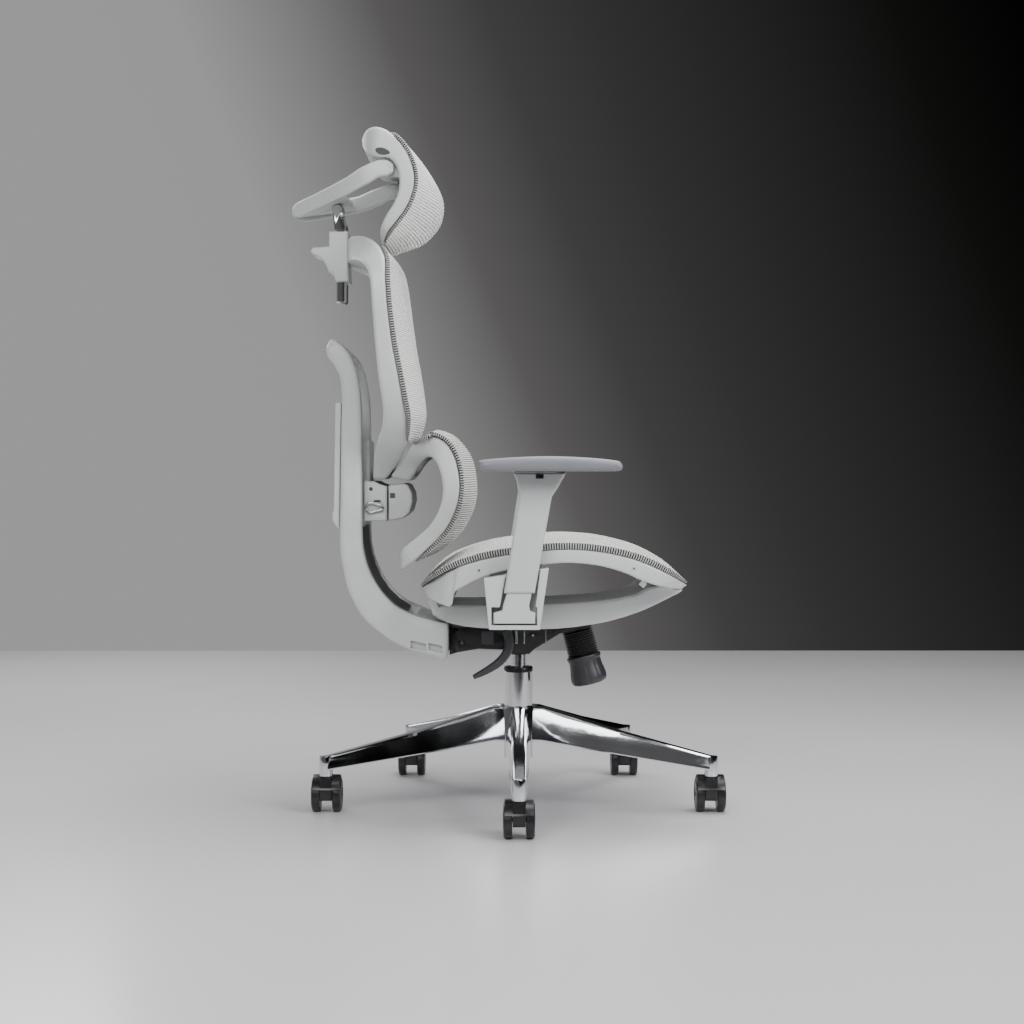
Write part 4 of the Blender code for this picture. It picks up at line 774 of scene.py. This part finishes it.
# Each beam has two shallow pockets in its side, near the front end: (x, x, z, z) of each.
POCKETS = ((-0.186, -0.159, 0.2868, 0.300), (-0.155, -0.131, 0.2832, 0.296))
for low_x, high_x, low_z, high_z in POCKETS:
    pocket = [(low_x, low_z), (high_x, low_z - 0.005), (high_x, high_z - 0.006), (low_x, high_z)]
    for cutter in plate_pair(pocket, 0.110, 0.125):
        spine = changed(spine, cutter, "DIFFERENCE")
place("spine_beams", spine, grey_nylon, "back", ["spine_frame"])
# The same nylon in dark grey, with the same grain.
web_grey = surface("dark_grey_moulded_nylon", "#4B4C4B", 0.45, grain_mm=0.9, depth_mm=0.03)
dress("spine_webbing", "spine_web", web_grey, "back", 0.0006)
dress("spine_back_cover", "spine_cover", grey_nylon, "back", 0.0012, 3)

# ---- bracket, lumbar slider and release loop ----
# A grey nylon block clamps the upper back to the spine's height rail and guides the lumbar
# slider. A steel wire loop on its side frees the height catch.

dress("rail_bracket", "back_bracket", grey_nylon, "upper_back", 0.0014, 3)
dress("lumbar_slider", "lumbar_carrier", grey_nylon, "lumbar", 0.0018, 3)
# A dark disc and a dark bar on each side of the bracket are painted shade.
marks = disc_pair(-0.2560, 0.0858, 0.5600, 0.0034, 0.0008, 24)
marks += plate_pair([(-0.2520, 0.5370), (-0.2380, 0.5370), (-0.2400, 0.5410),
                     (-0.2500, 0.5410)], 0.0855, 0.0866, 0.0003)
place("bracket_mark_shade", joined(marks), painted_hole_shade, "upper_back", [], 20)
marks = plate_pair([(-0.2235, 0.5440), (-0.2145, 0.5440), (-0.2145, 0.5530),
                    (-0.2235, 0.5530)], 0.0775, 0.0786, 0.0004)
place("slider_marks", joined(marks), web_grey, "lumbar", [], 20)
x, z = -0.2350, 0.528
curve = bpy.data.curves.new("loop", "CURVE")
curve.dimensions = "3D"
curve.bevel_depth = 0.0021
curve.bevel_resolution = 4
curve.resolution_u = 10
spline = curve.splines.new("BEZIER")
spots = [(x, -0.0905, z), (x - 0.0120, -0.0905, z + 0.0060), (x - 0.0220, -0.0905, z + 0.0080),
         (x - 0.0300, -0.0905, z), (x - 0.0220, -0.0905, z - 0.0080),
         (x - 0.0120, -0.0905, z - 0.0060)]
spline.bezier_points.add(len(spots) - 1)
for point, spot in zip(spline.bezier_points, spots):
    point.co = spot
    point.handle_left_type = point.handle_right_type = "AUTO"
spline.use_cyclic_u = True
pin = turned([(0.0, 0.0), (0.0014, 0.0), (0.0017, 0.0003), (0.0017, 0.0200), (0.0, 0.0200)],
             (x, -0.0920, z), (x, -0.0720, z), 24)
place("catch_loop", joined([mesh_of(curve), pin]), zinc, "release_loop", ["release_loop"])

# ---- upper back ----
# One grey nylon ring, narrow at the bracket and broad across the shoulders, bends back at
# the top to meet the headrest's clamp. Its sheet is knitted in ribs 3.9 mm apart.

BACK_RAILS = [(-0.2530, 0.5760, -0.2320, 0.5760), (-0.2510, 0.5950, -0.2150, 0.5960),
              (-0.2470, 0.6220, -0.2000, 0.6170), (-0.2400, 0.6430, -0.1910, 0.6370),
              (-0.2310, 0.6640, -0.1880, 0.6580), (-0.2270, 0.6860, -0.1880, 0.6800),
              (-0.2280, 0.7110, -0.1920, 0.7070), (-0.2340, 0.7560, -0.2000, 0.7500),
              (-0.2390, 0.8090, -0.2100, 0.8040), (-0.2430, 0.8620, -0.2170, 0.8560),
              (-0.2460, 0.9030, -0.2215, 0.9050), (-0.2510, 0.9240, -0.2230, 0.9420),
              (-0.2600, 0.9380, -0.2290, 0.9590), (-0.2730, 0.9480, -0.2380, 0.9740),
              (-0.2850, 0.9520, -0.2540, 0.9890), (-0.2935, 0.9540, -0.2720, 0.9975),
              (-0.2985, 0.9560, -0.2975, 1.0010)]
BACK_SHEET = [(-0.1903, 0.6420, -0.1890, 0.6420), (-0.1875, 0.6600, -0.1760, 0.6600),
              (-0.1875, 0.6850, -0.1690, 0.6850), (-0.1915, 0.7080, -0.1695, 0.7080),
              (-0.1995, 0.7520, -0.1755, 0.7520), (-0.2095, 0.8050, -0.1850, 0.8050),
              (-0.2165, 0.8570, -0.1925, 0.8570), (-0.2208, 0.9060, -0.1990, 0.9060),
              (-0.2216, 0.9420, -0.2060, 0.9400), (-0.2272, 0.9600, -0.2170, 0.9570),
              (-0.2365, 0.9745, -0.2340, 0.9700)]
track = rails(BACK_RAILS)
whole = track[0][-1]
outer = widths([(0.0, 0.085), (0.03, 0.110), (0.07, 0.165), (0.11, 0.205), (0.16, 0.225),
                (0.25, 0.230), (0.34, 0.226), (0.385, 0.195), (0.415, 0.130), (whole, 0.060)])
inner = widths([(0.0, 0.060), (0.03, 0.080), (0.07, 0.138), (0.11, 0.180), (0.16, 0.201),
                (0.25, 0.206), (0.34, 0.202), (0.375, 0.170), (0.395, 0.110), (whole, 0.040)])
ring = shell([outline(0.0, whole, outer, ((0.006, 0.010), (0.006, 0.015)), 4, 50),
              outline(0.024, 0.396, inner, ((0.010, 0.020), (0.012, 0.050)), 6, 40)],
             track, 0.0045, step=0.005)
place("back_ring", ring, grey_nylon, "upper_back", ["upper_frame"])
track = rails(BACK_SHEET)
whole = track[0][-1]
half = widths([(0.0, 0.178), (0.035, 0.208), (0.08, 0.225), (0.17, 0.230), (0.26, 0.226),
               (0.31, 0.205), (whole, 0.150)])
back_cloth = mesh_cloth("knitted_elastomer_mesh_back", "#F1F0EE", "#2A2A29", BACK_RIB, 3.6,
                        crease=0.34, cross_share=0.15)
stretched("back", track, half, ((0.010, 0.040), (0.016, 0.050)), 0.008, BACK_RIB,
          (back_cloth, webbing), "upper_back", "upper_mesh", rib_depth=0.0005, samples=6)

# ---- lumbar support ----
# A C-shaped grey ring carries the lumbar sheet on its own slider, in front of the spine.

LUMBAR_RAILS = [(-0.1905, 0.5730, -0.2235, 0.5800), (-0.1830, 0.5810, -0.2130, 0.5940),
                (-0.1680, 0.6040, -0.1960, 0.6160), (-0.1570, 0.6140, -0.1800, 0.6370),
                (-0.1480, 0.6150, -0.1580, 0.6500), (-0.1400, 0.6080, -0.1360, 0.6480),
                (-0.1340, 0.5960, -0.1180, 0.6340), (-0.1300, 0.5810, -0.1050, 0.6080),
                (-0.1275, 0.5600, -0.0990, 0.5700), (-0.1310, 0.5360, -0.1025, 0.5380),
                (-0.1400, 0.5150, -0.1140, 0.5080), (-0.1530, 0.4965, -0.1300, 0.4850),
                (-0.1740, 0.4780, -0.1540, 0.4600), (-0.1960, 0.4600, -0.1800, 0.4370),
                (-0.2040, 0.4480, -0.2030, 0.4200)]
LUMBAR_SHEET = [(-0.1800, 0.6375, -0.1790, 0.6380), (-0.1580, 0.6505, -0.1500, 0.6600),
                (-0.1358, 0.6484, -0.1200, 0.6540), (-0.1176, 0.6342, -0.0980, 0.6340),
                (-0.1046, 0.6082, -0.0830, 0.6080), (-0.0986, 0.5700, -0.0760, 0.5700),
                (-0.1021, 0.5379, -0.0780, 0.5360), (-0.1137, 0.5077, -0.0900, 0.5040),
                (-0.1297, 0.4847, -0.1080, 0.4780), (-0.1537, 0.4597, -0.1380, 0.4530),
                (-0.1770, 0.4390, -0.1740, 0.4370)]
track = rails(LUMBAR_RAILS)
whole = track[0][-1]
outer = widths([(0.0, 0.085), (0.03, 0.110), (0.06, 0.155), (0.09, 0.183), (0.14, 0.190),
                (0.24, 0.190), (whole, 0.180)])
inner = widths([(0.0, 0.060), (0.03, 0.085), (0.06, 0.130), (0.09, 0.158), (0.14, 0.166),
                (0.24, 0.166), (whole, 0.155)])
ring = shell([outline(0.0, whole, outer, ((0.004, 0.008), (0.030, 0.050)), 6, 40),
              outline(0.020, whole - 0.028, inner, ((0.010, 0.030), (0.025, 0.040)), 6, 40)],
             track, 0.0045, step=0.005)
place("lumbar_ring", ring, grey_nylon, "lumbar", ["lumbar_frame"])
track = rails(LUMBAR_SHEET)
whole = track[0][-1]
half = widths([(0.0, 0.172), (0.03, 0.186), (0.08, 0.190), (0.18, 0.190), (whole, 0.184)])
lumbar_cloth = mesh_cloth("knitted_elastomer_mesh_lumbar", "#E3E2DE", "#2A2A29", BACK_RIB, 3.6,
                          crease=0.46, cross_share=0.7)
stretched("lumbar", track, half, ((0.020, 0.040), (0.025, 0.045)), 0.007, BACK_RIB,
          (lumbar_cloth, webbing), "lumbar", "lumbar_mesh")

# ---- headrest ----
# A second small grey ring with a bulging ribbed sheet. Two ears behind it turn on the
# yoke's arms, so the headrest nods.

HEAD_RAILS = [(-0.2370, 0.9880, -0.2345, 0.9810), (-0.2345, 1.0050, -0.2220, 0.9980),
              (-0.2255, 1.0240, -0.2065, 1.0160), (-0.2130, 1.0430, -0.1905, 1.0380),
              (-0.2045, 1.0620, -0.1810, 1.0600), (-0.2018, 1.0800, -0.1768, 1.0820),
              (-0.2045, 1.1000, -0.1790, 1.1040), (-0.2110, 1.1140, -0.1880, 1.1280),
              (-0.2210, 1.1225, -0.2030, 1.1500), (-0.2360, 1.1235, -0.2220, 1.1680),
              (-0.2500, 1.1270, -0.2420, 1.1755), (-0.2610, 1.1360, -0.2590, 1.1735),
              (-0.2680, 1.1480, -0.2695, 1.1620)]
HEAD_SHEET = [(-0.2310, 0.9845, -0.2290, 0.9835), (-0.2060, 1.0157, -0.1760, 0.9960),
              (-0.1900, 1.0378, -0.1480, 1.0200), (-0.1806, 1.0600, -0.1370, 1.0440),
              (-0.1764, 1.0820, -0.1370, 1.0700), (-0.1786, 1.1042, -0.1490, 1.0960),
              (-0.1876, 1.1283, -0.1670, 1.1230), (-0.2026, 1.1503, -0.1890, 1.1480),
              (-0.2200, 1.1670, -0.2160, 1.1690)]
HEAD_AXIS = (-0.2235, 1.106)
track = rails(HEAD_RAILS)
whole = track[0][-1]
outer = widths([(0.0, 0.140), (0.06, 0.150), (0.15, 0.150), (whole, 0.145)])
inner = widths([(0.0, 0.116), (0.06, 0.126), (0.15, 0.126), (whole, 0.120)])
HEAD_CORNER = ((0.030, 0.045), (0.035, 0.050))
ring = shell([outline(0.0, whole, outer, HEAD_CORNER, 10, 24),
              outline(0.020, whole - 0.050, inner, ((0.022, 0.035), (0.022, 0.035)), 10, 20)],
             track, 0.0045, step=0.004)
x, z = HEAD_AXIS
ear = [(x - 0.0120, z - 0.0130), (-0.1980, z - 0.0130), (-0.1980, z + 0.0090),
       (x + 0.0040, z + 0.0130), (x - 0.0120, z + 0.0060)]
shapes = [ring] + plate_pair(ear, 0.1155, 0.1272, 0.0012, 3)
for side in (-1, 1):
    shapes.append(turned([(0.0, 0.0), (0.0045, 0.0), (0.0045, 0.0235), (0.0040, 0.0240),
                          (0.0, 0.0240)], (x, side * 0.1200, z), (x, side * 0.1440, z), 32))
place("headrest_ring", joined(shapes), grey_nylon, "headrest", ["headrest_frame"])

# The lip's side has an oval hollow, drawn as a patch of painted shade that follows the curved side.
side_at = edge_at(0.0, whole, outer, HEAD_CORNER)
HOLLOW_ALONG, HOLLOW_LONG, HOLLOW_PART, HOLLOW_SHARE = 0.1865, 0.0150, 0.22, 0.13
shapes = []
for side in (-1, 1):
    oval = bmesh.new()
    bmesh.ops.create_grid(oval, x_segments=20, y_segments=8, size=1)
    for vert in oval.verts:
        along = HOLLOW_ALONG + HOLLOW_LONG * vert.co.x
        rise = vert.co.y * math.sqrt(max(1 - vert.co.x ** 2, 0.0004))
        x, z = on_rails(track, along, HOLLOW_PART + HOLLOW_SHARE * rise)
        vert.co = (x, side * (side_at(along) + 0.0001), z)
    bmesh.ops.recalc_face_normals(oval, faces=oval.faces)
    bmesh.ops.solidify(oval, geom=oval.faces[:], thickness=0.0004)
    shapes.append(oval)
place("headrest_hollow_shade", joined(shapes), painted_hole_shade, "headrest", [], 20)
track = rails(HEAD_SHEET)
whole = track[0][-1]
half = widths([(0.0, 0.140), (0.05, 0.150), (0.15, 0.150), (whole, 0.147)])
head_cloth = mesh_cloth("knitted_elastomer_mesh_head", "#F4F3F1", "#1C1C1B", HEAD_RIB, 3.6,
                        crease=0.30, cross_share=0.10)
stretched("headrest", track, half, ((0.030, 0.045), (0.020, 0.035)), 0.0065, HEAD_RIB,
          (head_cloth, webbing), "headrest", "headrest_mesh", rib_depth=0.0007, samples=8)

# ---- headrest yoke, stem and clamp ----
# The yoke is a grey nylon fork that turns on a pin through the stem's top. The flat chromed
# stem slides in a clamp behind the upper back, which has two finger wings.

dress("yoke_arms", "headrest_yoke", grey_nylon, "headrest_yoke", 0.0014, 3)
dress("stem_bar", "headrest_stem", chrome, "headrest_stem", 0.0008, 3)
PIN_X, PIN_Z, PIN_END = -0.319, 1.051, 0.0262
pin_half = [(0.0, 0.0), (0.0070, 0.0), (0.0080, 0.0003), (0.0085, 0.0010), (0.0085, 0.0026),
            (0.0045, 0.0027), (0.0045, PIN_END), (0.0, PIN_END)]
pins = [turned(pin_half, (PIN_X, side * PIN_END, PIN_Z), (PIN_X, 0, PIN_Z), 48)
        for side in (-1, 1)]
place("stem_pin", joined(pins), grey_nylon, "headrest_stem", ["headrest_pin"])
dress("stem_clamp", "headrest_clamp", grey_nylon, "upper_back", 0.0016, 3)

# ---- floor, light and camera ----
# A pale glossy studio floor, a plain grey surround that darkens to one side, and four
# large soft lights.

FLOOR_WIDE, FLOOR_DEEP, FLOOR_MIDDLE = 6.4, 4.3, 0.60
bm = bmesh.new()
bmesh.ops.create_grid(bm, x_segments=1, y_segments=1, size=1)
bmesh.ops.scale(bm, vec=(FLOOR_WIDE / 2, FLOOR_DEEP / 2, 1), verts=bm.verts)
bmesh.ops.translate(bm, vec=(0, FLOOR_MIDDLE, 0), verts=bm.verts)
data = bpy.data.meshes.new("floor")
bm.to_mesh(data)
bm.free()
# Sealed and polished floor: pale, with a soft mirror of what stands on it.
floor_skin = surface("pale_sealed_floor", "#CDCCCF", 0.24, mottle=0.01, swing=0.02,
                     patch_mm=900, grain_mm=400, depth_mm=0.0)
data.materials.append(floor_skin)
floor = bpy.data.objects.new("floor", data)
bpy.context.scene.collection.objects.link(floor)

# The surround's shade follows X plus 0.4 times Z, and is dimmer behind the camera.
SHADE_LOW, SHADE_HIGH, SHADE_SLANT = -0.20, 0.40, 0.4
world = bpy.data.worlds.new("studio")
bpy.context.scene.world = world
world.use_nodes = True
tree = world.node_tree
way = add(tree, "ShaderNodeTexCoord").outputs["Generated"]
split = add(tree, "ShaderNodeSeparateXYZ", {"Vector": way})
slanted = add(tree, "ShaderNodeMath", {0: split.outputs["Z"], 1: SHADE_SLANT,
                                       2: split.outputs["X"]}, operation="MULTIPLY_ADD")
ramp = add(tree, "ShaderNodeValToRGB", {"Fac": add(tree, "ShaderNodeMapRange", {
    "Value": slanted.outputs[0], "From Min": SHADE_LOW,
    "From Max": SHADE_HIGH}).outputs["Result"]})
shades = ((-0.17, "#A2A0A1"), (-0.08, "#9F9E9F"), (-0.026, "#828182"), (0.025, "#5B595A"),
          (0.078, "#434243"), (0.13, "#373637"), (0.18, "#2D2D2D"), (0.23, "#232323"),
          (0.28, "#141413"), (0.34, "#050505"))
while len(ramp.color_ramp.elements) < len(shades):
    ramp.color_ramp.elements.new(0.5)
for stop, (at, code) in zip(ramp.color_ramp.elements, shades):
    stop.position = (at - SHADE_LOW) / (SHADE_HIGH - SHADE_LOW)
    stop.color = linear(code)
behind = add(tree, "ShaderNodeMapRange", {"Value": split.outputs["Y"], "From Min": -0.35,
                                          "From Max": 0.10, "To Min": 0.30, "To Max": 1.0})
shade = add(tree, "ShaderNodeVectorMath", {0: ramp.outputs["Color"]}, operation="SCALE")
tree.links.new(behind.outputs["Result"], shade.inputs["Scale"])
tree.links.new(shade.outputs["Vector"], tree.nodes["Background"].inputs["Color"])
tree.nodes["Background"].inputs["Strength"].default_value = 1.0


def softbox(name, spot, aim, size, power):
    data = bpy.data.lights.new(name, "AREA")
    data.shape = "RECTANGLE"
    data.size, data.size_y = size
    data.energy = power
    lamp = bpy.data.objects.new(name, data)
    lamp.location = spot
    lamp.rotation_euler = (Vector(aim) - Vector(spot)).to_track_quat("-Z", "Y").to_euler()
    bpy.context.scene.collection.objects.link(lamp)


softbox("front_light", (-0.9, -3.0, 2.3), (0, 0, 0.6), (2.4, 1.6), 85)
softbox("side_light", (2.3, -2.0, 2.0), (0, 0, 0.5), (1.6, 1.6), 90)
softbox("top_light", (0.5, 0.3, 3.0), (0, 0, 0.5), (2.4, 1.8), 120)
softbox("rear_light", (-1.8, 2.2, 1.8), (0, 0, 0.7), (1.6, 1.4), 32)

data = bpy.data.cameras.new("camera")
data.lens = 67.1
data.sensor_width = 36
camera = bpy.data.objects.new("camera", data)
camera.location = (0.0079, -3.395, 0.605)
camera.rotation_euler = (math.radians(90 - 1.47), 0, 0)
bpy.context.scene.collection.objects.link(camera)
bpy.context.scene.camera = camera
